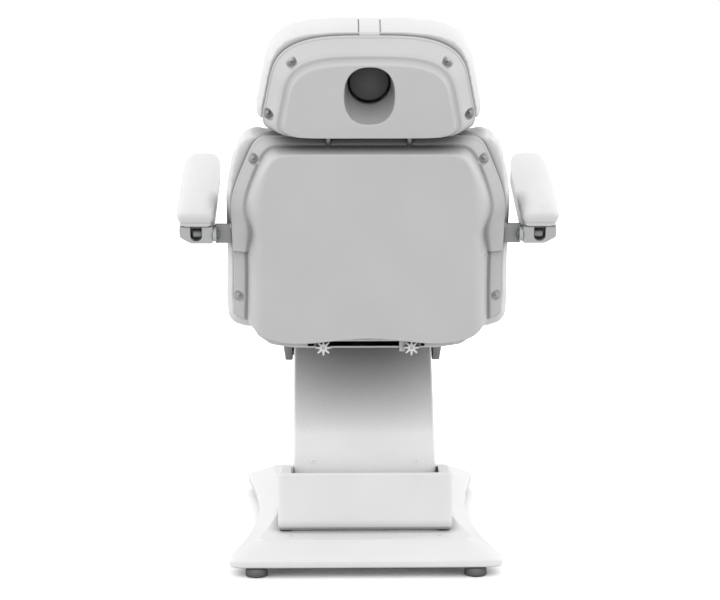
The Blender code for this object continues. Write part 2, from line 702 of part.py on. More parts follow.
def make_seat_motors():
    """Back motor and leg motor side by side under the seat cushion, each held by the far cross tube."""
    swing = LEVER * math.sin(BACK_RECLINE / 2)
    mouth = REAR_CROSS_Y + 2 * TUBE
    make_rod("back_rod", pivots["back_rod"], (0, 0, 0), BACK_MOTOR_X, BACK_ROD_Z, BACK_HINGE_Y - swing,
             mouth + MOTOR_LENGTH - CASE_LENGTH - 2 * swing - SWING_GAP, lever_drop(LEVER, BACK_RECLINE))
    tail = FRONT_CROSS_Y - GAP
    make_motor("back_motor", pivots["seat"], seat_offset, BACK_MOTOR_X, BACK_ROD_Z, mouth, tail, -1,
               (BACK_ROD_Z - BRACKET_RISE, BACK_ROD_Z + BRACKET_RISE))
    swing = LEVER * math.sin(LEG_DROP / 2)
    mouth = FRONT_CROSS_Y - TUBE
    make_rod("leg_rod", pivots["leg_rod"], (0, 0, 0), LEG_MOTOR_X, LEG_ROD_Z, LEG_HINGE_Y + swing,
             mouth - MOTOR_LENGTH + CASE_LENGTH + 2 * swing + SWING_GAP, lever_drop(LEVER, LEG_DROP))
    tail = REAR_CROSS_Y + TUBE + GAP
    make_motor("leg_motor", pivots["seat"], seat_offset, LEG_MOTOR_X, LEG_ROD_Z, mouth, tail, -1,
               (LEG_ROD_Z - BRACKET_RISE, LEG_ROD_Z + BRACKET_RISE))


# Lift, drawn along +Y from the lower pivots

def make_lift_arm():
    top = COVER_TOP - WALL - GAP
    arm = piece("lift_arm", block((-ARM_HALF, ARM_HALF), (0.0, ARM_LENGTH), (-ARM_BELOW, top)), "grey_paint",
                pivots["arm"])
    for name, y in (("foot", 0.0), ("head", ARM_LENGTH)):
        join(arm, f"arm_{name}_boss", bar(ARM_BELOW, (-ARM_HALF, y, 0.0), (ARM_HALF, y, 0.0)))
    turn = LIFT_REST - ARM_ANGLE
    tip = (LIFT_LEVER * math.sin(turn), -LIFT_LEVER * math.cos(turn))
    plate = (LIFT_LEVER_X, LIFT_LEVER_X + LUG_THICK)
    join(arm, "lift_lever", side_plate(plate, strap_outline((0.0, 0.0), tip, LUG_RADIUS)))
    join(arm, "lift_lever_pin", bar(LEVER_PIN_RADIUS, (LIFT_MOTOR_X - YOKE_THICK / 2, *tip),
                                    (LIFT_LEVER_X + LUG_THICK / 2, *tip), 12))
    reach = ARM_HALF + SWING_GAP
    for name, y in (("foot", 0.0), ("head", ARM_LENGTH)):
        tool(arm, f"arm_{name}_bore", bar(SHAFT_RADIUS + GAP, (-reach, y, 0.0), (reach, y, 0.0)))


def make_arm_cover():
    """Folded cover over the arm: a wide top with two side skirts."""
    cover = piece("lift_arm_cover", block((-COVER_HALF, COVER_HALF), (0.0, ARM_LENGTH),
                                          (-COVER_SKIRT, COVER_TOP)), "white_paint", pivots["arm"])
    rounded(cover, WALL, 2)
    inner = COVER_HALF - WALL
    tool(cover, "arm_cover_inside", block((-inner, inner), (-CUSHION, ARM_LENGTH + CUSHION),
                                          (-CUSHION, COVER_TOP - WALL)))
    both_sides(lambda name, side: [
        tool(cover, f"arm_cover_{end}_{name}", bar(SHAFT_RADIUS + WALL, (side * (inner - SWING_GAP), y, 0.0),
                                                   (side * (COVER_HALF + SWING_GAP), y, 0.0)))
        for end, y in (("foot", 0.0), ("head", ARM_LENGTH))])


def make_link():
    link = piece("parallel_link", side_plate((-LINK_HALF, LINK_HALF),
                                             strap_outline((0.0, 0.0), (ARM_LENGTH, 0.0), LINK_RADIUS)),
                 "grey_paint", pivots["link"])
    reach = LINK_HALF + SWING_GAP
    for name, y in (("foot", 0.0), ("head", ARM_LENGTH)):
        tool(link, f"link_{name}_bore", bar(SHAFT_RADIUS + GAP, (-reach, y, 0.0), (reach, y, 0.0)))


# Seat, in bed coordinates

def make_ears():
    """Tapered ears under the seat rails that carry the upper pivots of the arm and the link."""
    top = FRAME_LOW - GAP
    middle = (EAR_REAR + EAR_FRONT) / 2
    half = (EAR_FRONT - EAR_REAR) / 2

    def ear(name, side):
        def section(level):
            share = (level - EAR_FOOT) / (top - EAR_FOOT)
            thick = EAR_FOOT_THICK + share * (EAR_TOP_THICK - EAR_FOOT_THICK)
            reach = half - EAR_CORNER * (1 - ease(2 * share))
            x = (side * EAR_INNER, side * (EAR_INNER + thick))
            y = (middle - reach, middle + reach)
            return [(x[0], y[0], level), (x[1], y[0], level), (x[1], y[1], level), (x[0], y[1], level)]

        levels = [EAR_FOOT + (top - EAR_FOOT) * share for share in (0.0, 0.12, 0.3, 0.5, 1.0)]
        made = piece(f"ear_{name}", loft([section(level) for level in levels]), "grey_paint", pivots["seat"],
                     seat_offset)
        rounded(made, 0.002)
        for hole, y in (("arm", ARM_HEAD.x), ("link", ARM_HEAD.x + LINK_OFFSET)):
            tool(made, f"ear_{hole}_hole_{name}", bar(
                SHAFT_RADIUS + GAP, (side * (EAR_INNER - SWING_GAP), y, ARM_HEAD.y),
                (side * (EAR_INNER + EAR_TOP_THICK), y, ARM_HEAD.y)))

    both_sides(ear)
    reach = EAR_INNER + EAR_FOOT_THICK
    for name, y in (("ear_arm_pin", ARM_HEAD.x), ("ear_link_pin", ARM_HEAD.x + LINK_OFFSET)):
        piece(name, bar(SHAFT_RADIUS, (-reach, y, ARM_HEAD.y), (reach, y, ARM_HEAD.y)), "bright_steel",
              pivots["seat"], seat_offset)


def hinge_lug(obj, name, points, side, inner):
    """Joins a bent hinge lug to a frame piece: round-ended plates from each (y, z) point to the next."""
    plate = span(side, inner, inner + LUG_THICK)
    for i, (near, far) in enumerate(zip(points, points[1:])):
        join(obj, f"{name}_{i}", side_plate(plate, strap_outline(near, far, LUG_RADIUS)))


def make_seat_frame():
    tube_z = (FRAME_LOW, SEAT_FLOOR)
    lug_z = HINGE_Z - LUG_DROP
    crosses = {"rear": (REAR_CROSS_Y, BACK_HINGE_Y, 1, BACK_MOTOR_X, BACK_ROD_Z),
               "front": (FRONT_CROSS_Y, LEG_HINGE_Y, -1, LEG_MOTOR_X, LEG_ROD_Z)}

    def rail(name, side):
        made = piece(f"seat_rail_{name}", block(span(side, SEAT_RAIL_X - TUBE / 2, SEAT_RAIL_X + TUBE / 2),
                                                (REAR_CROSS_Y, SEAT_FRONT), tube_z),
                     "grey_paint", pivots["seat"], seat_offset, smooth=False)
        rounded(made, EDGE_ROUND)

    both_sides(rail)
    inner = SEAT_RAIL_X - TUBE / 2 - GAP
    for name, (y, hinge_y, ahead, rod_x, rod_z) in crosses.items():
        cross = piece(f"seat_cross_{name}", block((-inner, inner), (y, y + TUBE), tube_z), "grey_paint",
                      pivots["seat"], seat_offset, smooth=False)
        rounded(cross, EDGE_ROUND)
        corner = (hinge_y + ahead * LUG_CORNER, lug_z)
        for side_name, side in (("left", -1), ("right", 1)):
            bend = ((y + TUBE / 2, lug_z), corner, (hinge_y, HINGE_Z))
            hinge_lug(cross, f"{name}_lug_{side_name}", bend, side, SEAT_LUG_INNER)
            pin_root = SEAT_LUG_INNER + LUG_THICK / 2
            join(cross, f"{name}_hinge_pin_{side_name}", bar(
                PIN_RADIUS, (side * LUG_INNER, hinge_y, HINGE_Z), (side * pin_root, hinge_y, HINGE_Z)))
        tool(cross, f"{name}_rod_hole", bar(ROD_RADIUS + SWING_GAP / 2, (rod_x, y - TUBE, rod_z),
                                            (rod_x, y + 2 * TUBE, rod_z)))


def lug_pocket(obj, name, y, z):
    """Room in a cushion's round end for the hinge lugs, within the given (low, high) limits."""
    for side_name, side in (("left", -1), ("right", 1)):
        x = span(side, LUG_INNER - SWING_GAP, LUG_OUTER + SWING_GAP)
        tool(obj, f"{name}_pocket_{side_name}", block(x, y, z))


def make_seat_soft():
    half = waisted(CUSHION_HALF, SEAT_REAR, SEAT_FRONT)
    form = pad(flat_lie, SEAT_REAR, SEAT_FRONT, half, HINGE_Z, CUSHION, (SOFT_EDGE, SOFT_EDGE))
    piece("seat_cushion", form, "white_vinyl", pivots["seat"], seat_offset)
    steps = bowl_steps(SEAT_FLOOR, SHELL_DEPTH - GAP, BOWL_INSET, PANEL_END_INSET)
    shell_half = waisted(CUSHION_HALF - SEAT_SHELL_MARGIN, SEAT_REAR, SEAT_FRONT)
    form = tray(flat_lie, steps, shell_half, SEAT_SHELL_REAR, SEAT_SHELL_FRONT, (10, 10))
    shell = piece("seat_shell", form, "pale_grey_shell", pivots["seat"], seat_offset)
    shell_wall(shell, WALL)
    floor = SEAT_FLOOR - SHELL_DEPTH
    for name, side in (("left", -1), ("right", 1)):
        tool(shell, f"ear_slot_{name}", block(
            span(side, EAR_INNER - 2 * GAP, EAR_INNER + EAR_TOP_THICK + 2 * GAP),
            (EAR_REAR - 2 * GAP, SEAT_FRONT), (floor - SWING_GAP, SEAT_TOP)))
    lugs = LUG_OUTER + SWING_GAP
    high = (floor + 2 * WALL, SEAT_TOP)
    tool(shell, "rear_lug_opening", block((-lugs, lugs), (SEAT_REAR, REAR_CROSS_Y), high))
    rails = SEAT_RAIL_X + TUBE / 2 + 2 * GAP
    front = (SEAT_SHELL_FRONT - PANEL_END_INSET - 2 * WALL, SEAT_FRONT)
    tool(shell, "front_frame_opening", block((-rails, rails), front, high))


# Backrest, upright about its hinge

def shoulder(half, draw):
    """Half width of the backrest: even below and drawn in above the shoulder."""
    def width(along):
        waist = WAIST * math.sin(math.pi * min(max(along / SHOULDER_START, 0.0), 1.0))
        return half - waist - draw * ease((along - SHOULDER_START) / (SHOULDER_END - SHOULDER_START))
    return width


def make_back_cushion():
    made = piece("back_cushion", pad(upright, -CUSHION / 2, BACK_TOP,
                                     shoulder(CUSHION_HALF, SOFT_SHOULDER_DRAW), 0.0, CUSHION,
                                     (HINGE_END, SOFT_EDGE)), "white_vinyl", pivots["back"])
    reach = CUSHION / 2 + SWING_GAP
    lug_pocket(made, "back", (-reach, 2 * LUG_RADIUS), (-reach, LUG_RADIUS + SWING_GAP))


def lower_edge():
    """Points of the back shell's lower edge from the middle outwards."""
    arch = [(LOBE_X * i / 4, -ARCH_DROP - (LOBE_DROP - ARCH_DROP) * ease(i / 4)) for i in range(5)]
    edge = CUSHION_HALF - BACK_SHELL_MARGIN - EDGE_ROUND
    turn = [(LOBE_X + (edge - LOBE_X) * math.sin(a), FLANGE_FOOT - (FLANGE_FOOT + LOBE_DROP) * math.cos(a))
            for a in (math.pi / 2 * i / 6 for i in range(1, 7))]
    return arch + turn + [(CUSHION_HALF * 1.5, FLANGE_FOOT)]


def screw_pocket(shell, name, x, z):
    """Round hole through a shell's flange for a screw."""
    tool(shell, name, bar(POCKET_RADIUS, (x, PANEL_Y, z), (x, 0.0, z), 12))


def make_back_shell():
    """Moulded back: a raised panel with sloped shoulders, a flange with screw pockets and an open foot."""
    half = shoulder(CUSHION_HALF - BACK_SHELL_MARGIN, SHOULDER_DRAW)
    steps = tray_steps(-SHELL_RIM, -1, SHELL_DEPTH - GAP, PANEL_INSET, PANEL_END_INSET, PANEL_END_INSET)
    foot = -CUSHION
    shell = piece("back_shell", tray(upright, steps, half, foot, BACK_TOP - EDGE_ROUND, (16, 10)),
                  "pale_grey_shell", pivots["back"])
    shell_wall(shell, WALL)
    edge = lower_edge()
    outline = [(-x, z) for x, z in reversed(edge)] + edge[1:]
    under = 2 * foot
    outline = [(outline[0][0], under)] + outline + [(outline[-1][0], under)]
    tool(shell, "back_foot_trim", prism([(x, 2 * PANEL_Y, z) for x, z in outline], (0.0, 3 * -PANEL_Y, 0.0)))
    notch_y = (bar_centre() - BAR_THICK / 2 - GAP * 4, 0.0)
    notch_half = BAR_HEIGHT / 2 + SWING_GAP
    for name, side in (("left", -1), ("right", 1)):
        tool(shell, f"bar_notch_{name}", block(
            span(side, CUSHION_HALF - 2 * FLANGE_WIDTH, CUSHION_HALF + FLANGE_WIDTH), notch_y,
            (BAR_Z - notch_half, BAR_Z + notch_half)))
        for i, (x, z) in enumerate(BACK_POCKETS):
            screw_pocket(shell, f"back_pocket_{name}_{i}", side * x, z)
        tool(shell, f"back_post_way_{name}", bar(POST_RADIUS + 2 * GAP, (side * POST_X, post_y(), POST_LOW),
                                                 (side * POST_X, post_y(), HEAD_HIGH), 16))


def lever_tip(swing_rest):
    """Where a lever's pin lies about its hinge, for a swing from straight down given in bed coordinates."""
    return LEVER * math.sin(swing_rest), -LEVER * math.cos(swing_rest)


def make_back_frame():
    rail_y = (-SHELL_RIM - TUBE_DEEP, -SHELL_RIM)
    tip = lever_tip(-BACK_RECLINE / 2 - BACK_LEAN)
    foot = CUSHION / 2

    def rail(name, side):
        across = span(side, BACK_RAIL_X - TUBE / 2, BACK_RAIL_X + TUBE / 2)
        made = piece(f"back_rail_{name}", block(across, rail_y, (foot, BACK_TOP - 2 * TUBE)), "grey_paint",
                     pivots["back"], smooth=False)
        rounded(made, EDGE_ROUND)
        heel = sum(rail_y) / 2
        hinge_lug(made, f"back_lever_{name}", ((heel, foot + LUG_RADIUS), tip), side, LUG_INNER)
        hinge_lug(made, f"back_lug_{name}", ((heel, 0.0), (0.0, 0.0)), side, LUG_INNER)
        near, far = side * (LUG_INNER - SWING_GAP), side * (LUG_INNER + LUG_THICK + SWING_GAP)
        tool(made, f"back_hinge_hole_{name}", bar(PIN_RADIUS + GAP, (near, 0.0, 0.0), (far, 0.0, 0.0)))
        tool(made, f"back_pin_hole_{name}", bar(LEVER_PIN_RADIUS + GAP, (near, *tip), (far, *tip), 12))

    both_sides(rail)
    end = LUG_INNER + LUG_THICK
    pin = bar(LEVER_PIN_RADIUS, (-end, *tip), (end, *tip), 12)
    piece("back_lever_pin", pin, "bright_steel", pivots["back"])
    inner = BACK_RAIL_X - TUBE / 2 - GAP
    for name, z in zip(("lower", "upper"), BACK_CROSSES):
        cross = piece(f"back_cross_{name}", block((-inner, inner), rail_y, (z, z + TUBE)), "grey_paint",
                      pivots["back"], smooth=False)
        for side_name, side in (("left", -1), ("right", 1)):
            x, y = side * POST_X, post_y()
            tool(cross, f"{name}_post_hole_{side_name}", bar(POST_RADIUS + GAP, (x, y, z - TUBE),
                                                             (x, y, z + 2 * TUBE)))


# Headrest, upright about the back hinge

def post_y():
    return -SHELL_RIM - TUBE_DEEP / 2


def head_half(along):
    share = (along - HEAD_LOW) / (HEAD_HIGH - HEAD_LOW)
    return HEAD_LOW_HALF + (HEAD_HIGH_HALF - HEAD_LOW_HALF) * share


def make_head_cushion():
    made = piece("head_cushion", pad(upright, HEAD_LOW, HEAD_HIGH, head_half, 0.0, CUSHION,
                                     (SOFT_EDGE, SOFT_EDGE), corner=HEAD_CORNER), "white_vinyl",
                 pivots["head"])
    tool(made, "face_hole", bar(FACE_HOLE_RADIUS, (0.0, -CUSHION, FACE_HOLE_Z), (0.0, CUSHION, FACE_HOLE_Z),
                                RING_POINTS))


def make_head_shell():
    """Moulded head shell: flange, raised panel and a slot whose wall runs in to the cushion."""
    steps = tray_steps(-SHELL_RIM, -1, SHELL_DEPTH - GAP, HEAD_PANEL_INSET, HEAD_PANEL_LOW_INSET,
                       HEAD_PANEL_TOP_INSET, HEAD_FLANGE_TOP_INSET)

    def form(inset):
        rings = [ring(upright, level + inset, HEAD_SHELL_LOW + low + inset, HEAD_SHELL_HIGH - high - inset,
                      lambda along, side=side: head_half(along) - HEAD_SHELL_MARGIN - side - inset, HEAD_CORNER)
                 for side, low, high, level in steps]
        return loft(rings, cap_first=inset > 0)

    def slot(grow, near, far):
        ends = [ring(upright, level, FACE_SLOT_LOW - grow, FACE_SLOT_HIGH + grow,
                     lambda along: FACE_SLOT_HALF + grow, FACE_SLOT_CORNER) for level in (near, far)]
        return loft(ends)

    shell = piece("head_shell", form(0.0), "pale_grey_shell", pivots["head"])
    shell_wall(shell, WALL)
    wall = join(shell, "face_slot_wall", slot(WALL, -SHELL_RIM, PANEL_Y - WALL))
    tool(wall, "head_form", form(WALL / 2), "INTERSECT")
    tool(shell, "face_slot", slot(0.0, 0.0, 2 * PANEL_Y))
    for name, side in (("left", -1), ("right", 1)):
        for i, (x, z) in enumerate(HEAD_POCKETS):
            screw_pocket(shell, f"head_pocket_{name}_{i}", side * x, z)
        tool(shell, f"head_post_way_{name}", bar(POST_RADIUS + 2 * GAP, (side * POST_X, post_y(), POST_LOW),
                                                 (side * POST_X, post_y(), POST_PLATE_HIGH)))


def make_head_posts():
    def post(name, side):
        rod = piece(f"head_post_{name}", bar(POST_RADIUS, (side * POST_X, post_y(), POST_LOW),
                                             (side * POST_X, post_y(), POST_PLATE_HIGH)), "bright_steel",
                    pivots["head"])
        join(rod, f"head_plate_{name}", block(
            span(side, POST_X - POST_PLATE_HALF, POST_X + POST_PLATE_HALF),
            (post_y() - POST_RADIUS / 2, -SHELL_RIM), (POST_PLATE_LOW, POST_PLATE_HIGH - POST_RADIUS)))

    both_sides(post)


def make_face_plug():
    front = CUSHION / 2
    plug = piece("face_plug", bar(FACE_HOLE_RADIUS - GAP * 2, (0.0, front - PLUG_LENGTH, FACE_HOLE_Z),
                                  (0.0, front, FACE_HOLE_Z), 32), "dark_foam", pivots["plug"])
    rounded(plug, 0.004)


def make_neck_pillow():
    """Neck roll in front of the headrest and the strap that carries it over the top."""
    front = CUSHION / 2 + CROWN
    roll_y = front + STRAP_THICK + PILLOW_RADIUS + 2 * GAP
    rings = []
    for share, reach in ((-1.0, 0.35), (-0.96, 0.7), (-0.85, 0.93), (-0.45, 1.0), (0.0, 0.98), (0.45, 1.0),
                         (0.85, 0.93), (0.96, 0.7), (1.0, 0.35)):
        turns = [math.tau * i / ROUND_SIDES for i in range(ROUND_SIDES)]
        rings.append([(share * PILLOW_HALF, roll_y + reach * PILLOW_RADIUS * math.cos(a),
                       PILLOW_Z + reach * PILLOW_RADIUS * math.sin(a)) for a in turns])
    piece("neck_pillow", loft(rings), "white_vinyl", pivots["pillow"])
    inside, outside = strap_path(GAP), strap_path(GAP + STRAP_THICK)
    outline = [(-STRAP_WIDTH / 2, y, z) for y, z in inside + outside[::-1]]
    piece("pillow_strap", prism(outline, (STRAP_WIDTH, 0.0, 0.0)), "white_vinyl", pivots["pillow"])


def strap_path(away):
    """Side path of the strap: from the pillow up the front, over the top and down to the shell's edge."""
    front, back = CUSHION / 2 + CROWN + away, -CUSHION / 2 - away
    top = HEAD_HIGH + away
    path = [(front, PILLOW_Z)]
    for corner, turn in ((front - CUSHION_EDGE, CUSHION_EDGE), (back + BOARD_EDGE, -BOARD_EDGE)):
        start = 0.0 if turn > 0 else math.pi / 2
        for i in range(5):
            a = start + math.pi / 2 * i / 4
            path.append((corner + abs(turn) * math.cos(a), top - abs(turn) * (1 - math.sin(a))))
    return path + [(back, HEAD_SHELL_HIGH + 2 * GAP)]


# Armrests, upright about the back hinge

def bar_centre():
    return -SHELL_RIM - BAR_THICK


def make_armrests():
    y = bar_centre()
    z = (BAR_Z - BAR_HEIGHT / 2, BAR_Z + BAR_HEIGHT / 2)
    housing_top = REST_PAD_LOW - GAP

    def armrest(name, side):
        bar_piece = piece(f"armrest_bar_{name}", block(span(side, BACK_RAIL_X + TUBE / 2 + GAP, BAR_OUT),
                                                       (y - BAR_THICK / 2, y + BAR_THICK / 2), z),
                          "grey_paint", pivots["back"], smooth=False)
        rounded(bar_piece, 0.001)
        join(bar_piece, f"spigot_{name}", bar(SPIGOT_RADIUS, (side * (BAR_OUT - BAR_THICK), y, BAR_Z),
                                              (side * (BAR_OUT + SPIGOT_LENGTH), y, BAR_Z)))
        holder, offset = pivots[f"armrest_{name}"], (0.0, y, BAR_Z)
        inner, outer = side * (REST_X - REST_HOUSING_HALF), side * (REST_X + REST_HOUSING_HALF)
        low = REST_HOUSING_LOW
        section = [(inner, low), (outer - side * REST_CHAMFER, low), (outer, low + REST_CHAMFER),
                   (outer, housing_top), (inner, housing_top)]
        start, end = REST_REAR + REST_HOUSING_SHORT, REST_FRONT - REST_HOUSING_SHORT
        solid = prism([(x, start, h) for x, h in section], (0.0, end - start, 0.0))
        housing = piece(f"armrest_housing_{name}", solid, "grey_plastic", holder, offset)
        rounded(housing, EDGE_ROUND)
        bore_in = side * (REST_X - REST_HOUSING_HALF - SWING_GAP)
        tool(housing, f"spigot_bore_{name}", bar(SPIGOT_RADIUS + GAP, (bore_in, y, BAR_Z),
                                                 (side * (BAR_OUT + SPIGOT_LENGTH + GAP), y, BAR_Z)))
        screw_z = (low + housing_top) / 2
        x = side * REST_X
        tool(housing, f"housing_screw_{name}", bar(HOUSING_SCREW_RADIUS, (x, start - SWING_GAP, screw_z),
                                                   (x, start + HOUSING_SCREW_DEPTH, screw_z)))

        def place(x, along, level):
            return Vector((side * REST_X + x, along, level))

        middle = REST_PAD_LOW + REST_PAD_THICK / 2
        piece(f"armrest_pad_{name}", pad(place, REST_REAR, REST_FRONT, lambda along: REST_PAD_HALF, middle,
                                         REST_PAD_THICK, (REST_EDGE, REST_EDGE), edge=REST_EDGE,
                                         crown=REST_CROWN, corner=(4, 7)),
              "white_vinyl", holder, offset)

    both_sides(armrest)


# Legrest, in bed coordinates

def make_legrest():
    foot = LEG_HINGE_Y + LEG_LENGTH
    start = LEG_HINGE_Y - CUSHION / 2
    lean = LEG_TAPER / (foot - start)

    def half(along):
        return CUSHION_HALF - lean * (along - start)

    cushion = piece("leg_cushion", pad(flat_lie, start, foot, half, HINGE_Z, CUSHION, (HINGE_END, SOFT_EDGE)),
                    "white_vinyl", pivots["leg"], leg_offset)
    reach = CUSHION / 2 + SWING_GAP
    lug_pocket(cushion, "leg", (LEG_HINGE_Y - reach, LEG_HINGE_Y + LUG_CORNER + LUG_RADIUS + SWING_GAP),
               (HINGE_Z - reach, HINGE_Z + LUG_RADIUS + SWING_GAP))
    rear = LEG_FRAME_REAR
    steps = bowl_steps(SEAT_FLOOR, SHELL_DEPTH - GAP, BOWL_INSET, PANEL_END_INSET)
    shell = piece("leg_shell", tray(flat_lie, steps, lambda along: half(along) - SEAT_SHELL_MARGIN, rear,
                                    foot - BACK_SHELL_MARGIN, (8, 10)), "pale_grey_shell", pivots["leg"],
                  leg_offset)
    shell_wall(shell, WALL)
    lugs = LUG_OUTER + TUBE
    tool(shell, "leg_lug_opening", block((-lugs, lugs), (rear - TUBE, rear + TUBE),
                                         (FRAME_LOW - SWING_GAP, SEAT_TOP)))
    tip = lever_tip(LEG_DROP / 2)
    tip = (LEG_HINGE_Y + tip[0], HINGE_Z + tip[1])
    heel = (rear + LUG_RADIUS, HINGE_Z - LUG_DROP)
    corner = (LEG_HINGE_Y + LUG_CORNER, HINGE_Z - LUG_DROP)

    def rail(name, side):
        made = piece(f"leg_rail_{name}", block(span(side, BACK_RAIL_X - TUBE / 2, BACK_RAIL_X + TUBE / 2),
                                               (rear, foot - 2 * TUBE), (FRAME_LOW, SEAT_FLOOR)),
                     "grey_paint", pivots["leg"], leg_offset, smooth=False)
        rounded(made, EDGE_ROUND)
        hinge_lug(made, f"leg_lug_{name}", (heel, corner, (LEG_HINGE_Y, HINGE_Z)), side, LUG_INNER)
        hinge_lug(made, f"leg_lever_{name}", (corner, tip), side, LUG_INNER)
        near, far = side * (LUG_INNER - SWING_GAP), side * (LUG_INNER + LUG_THICK + SWING_GAP)
        tool(made, f"leg_hinge_hole_{name}", bar(PIN_RADIUS + GAP, (near, LEG_HINGE_Y, HINGE_Z),
                                                 (far, LEG_HINGE_Y, HINGE_Z)))
        tool(made, f"leg_pin_hole_{name}", bar(LEVER_PIN_RADIUS + GAP, (near, *tip), (far, *tip), 12))

    both_sides(rail)
    end = LUG_INNER + LUG_THICK
    pin = bar(LEVER_PIN_RADIUS, (-end, *tip), (end, *tip), 12)
    piece("leg_tie_bar", pin, "bright_steel", pivots["leg"], leg_offset)


clear_scene()
parts = new_collection("facial_bed")
tools = new_collection("facial_bed_cutters")
root = pivot("bed", None, (0.0, -BED_CENTRE, 0.0))
seat_offset = (0.0, ARM_HEAD.x, ARM_HEAD.y)
leg_offset = (0.0, LEG_HINGE_Y, HINGE_Z)
pivots = {
    "arm": pivot("arm_pivot", root, (0.0, ARM_FOOT.x, ARM_FOOT.y), ARM_ANGLE),
    "link": pivot("link_pivot", root, (0.0, ARM_FOOT.x + LINK_OFFSET, ARM_FOOT.y), ARM_ANGLE),
    "seat": pivot("seat_pivot", root, seat_offset),
    "back": pivot("back_pivot", root, (0.0, BACK_HINGE_Y, HINGE_Z), BACK_LEAN),
    "leg": pivot("leg_pivot", root, leg_offset),
    "lift_rod": pivot("lift_rod_slide", root, (0.0, 0.0, 0.0)),
    "back_rod": pivot("back_rod_slide", root, (0.0, 0.0, 0.0)),
    "leg_rod": pivot("leg_rod_slide", root, (0.0, 0.0, 0.0)),
}
for name in ("head", "plug", "pillow"):
    pivots[name] = pivot(f"{name}_slide", pivots["back"], (0.0, 0.0, 0.0))
for name in ("armrest_left", "armrest_right"):
    pivots[name] = pivot(f"{name}_pivot", pivots["back"], (0.0, bar_centre(), BAR_Z))

make_base_cover()
make_housing()
make_base_frame()
make_feet()
make_control_box()
make_lift_motor()
make_lift_arm()
make_arm_cover()
make_link()
make_ears()
make_seat_frame()
make_seat_soft()
make_seat_motors()
make_back_cushion()
make_back_shell()
make_back_frame()
make_head_cushion()
make_head_shell()
make_head_posts()
make_face_plug()
make_neck_pillow()
make_armrests()
make_legrest()
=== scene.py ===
"""Looks of an electric facial bed: moulded shells, cushions, covers, screws, finishes and stage.

Every new piece is a surface of two parameters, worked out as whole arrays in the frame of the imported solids.
"""

import json
import math

import bmesh
import bpy
import numpy as np
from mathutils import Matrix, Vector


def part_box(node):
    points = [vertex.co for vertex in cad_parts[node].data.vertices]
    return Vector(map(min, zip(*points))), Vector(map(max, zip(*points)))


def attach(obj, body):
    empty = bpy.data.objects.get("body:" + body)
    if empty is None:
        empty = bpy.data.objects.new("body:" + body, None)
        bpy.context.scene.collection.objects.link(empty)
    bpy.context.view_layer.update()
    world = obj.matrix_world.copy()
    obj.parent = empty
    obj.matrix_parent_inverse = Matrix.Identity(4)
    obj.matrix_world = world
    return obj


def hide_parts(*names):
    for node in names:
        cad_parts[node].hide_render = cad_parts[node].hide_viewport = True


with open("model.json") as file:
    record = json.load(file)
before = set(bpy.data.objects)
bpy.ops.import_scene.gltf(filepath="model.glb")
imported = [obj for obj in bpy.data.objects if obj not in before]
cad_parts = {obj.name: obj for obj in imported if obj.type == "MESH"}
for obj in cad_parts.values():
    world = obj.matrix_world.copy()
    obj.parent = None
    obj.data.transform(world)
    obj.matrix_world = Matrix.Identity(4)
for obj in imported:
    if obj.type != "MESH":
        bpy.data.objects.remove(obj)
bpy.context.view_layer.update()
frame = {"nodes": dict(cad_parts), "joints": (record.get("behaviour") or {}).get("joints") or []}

bl_info = {
    "name": "Facial Bed",
    "version": (1, 0, 0),
    "blender": (4, 5, 0),
    "location": "3D Viewport > Sidebar > Facial Bed",
    "description": "Builds the shells, cushions, covers and stage of an electric facial bed",
    "category": "Add Mesh",
}


# Settings

def length(name, default, description):
    """A length setting in metres."""
    return bpy.props.FloatProperty(name=name, description=description, default=default, unit="LENGTH",
                                   subtype="DISTANCE", precision=4)


def share(name, default, description):
    """A plain number setting."""
    return bpy.props.FloatProperty(name=name, description=description, default=default, precision=3)


def degrees(name, default, description):
    """An angle setting, given in degrees."""
    return bpy.props.FloatProperty(name=name, description=description, default=math.radians(default),
                                   unit="ROTATION", subtype="ANGLE")


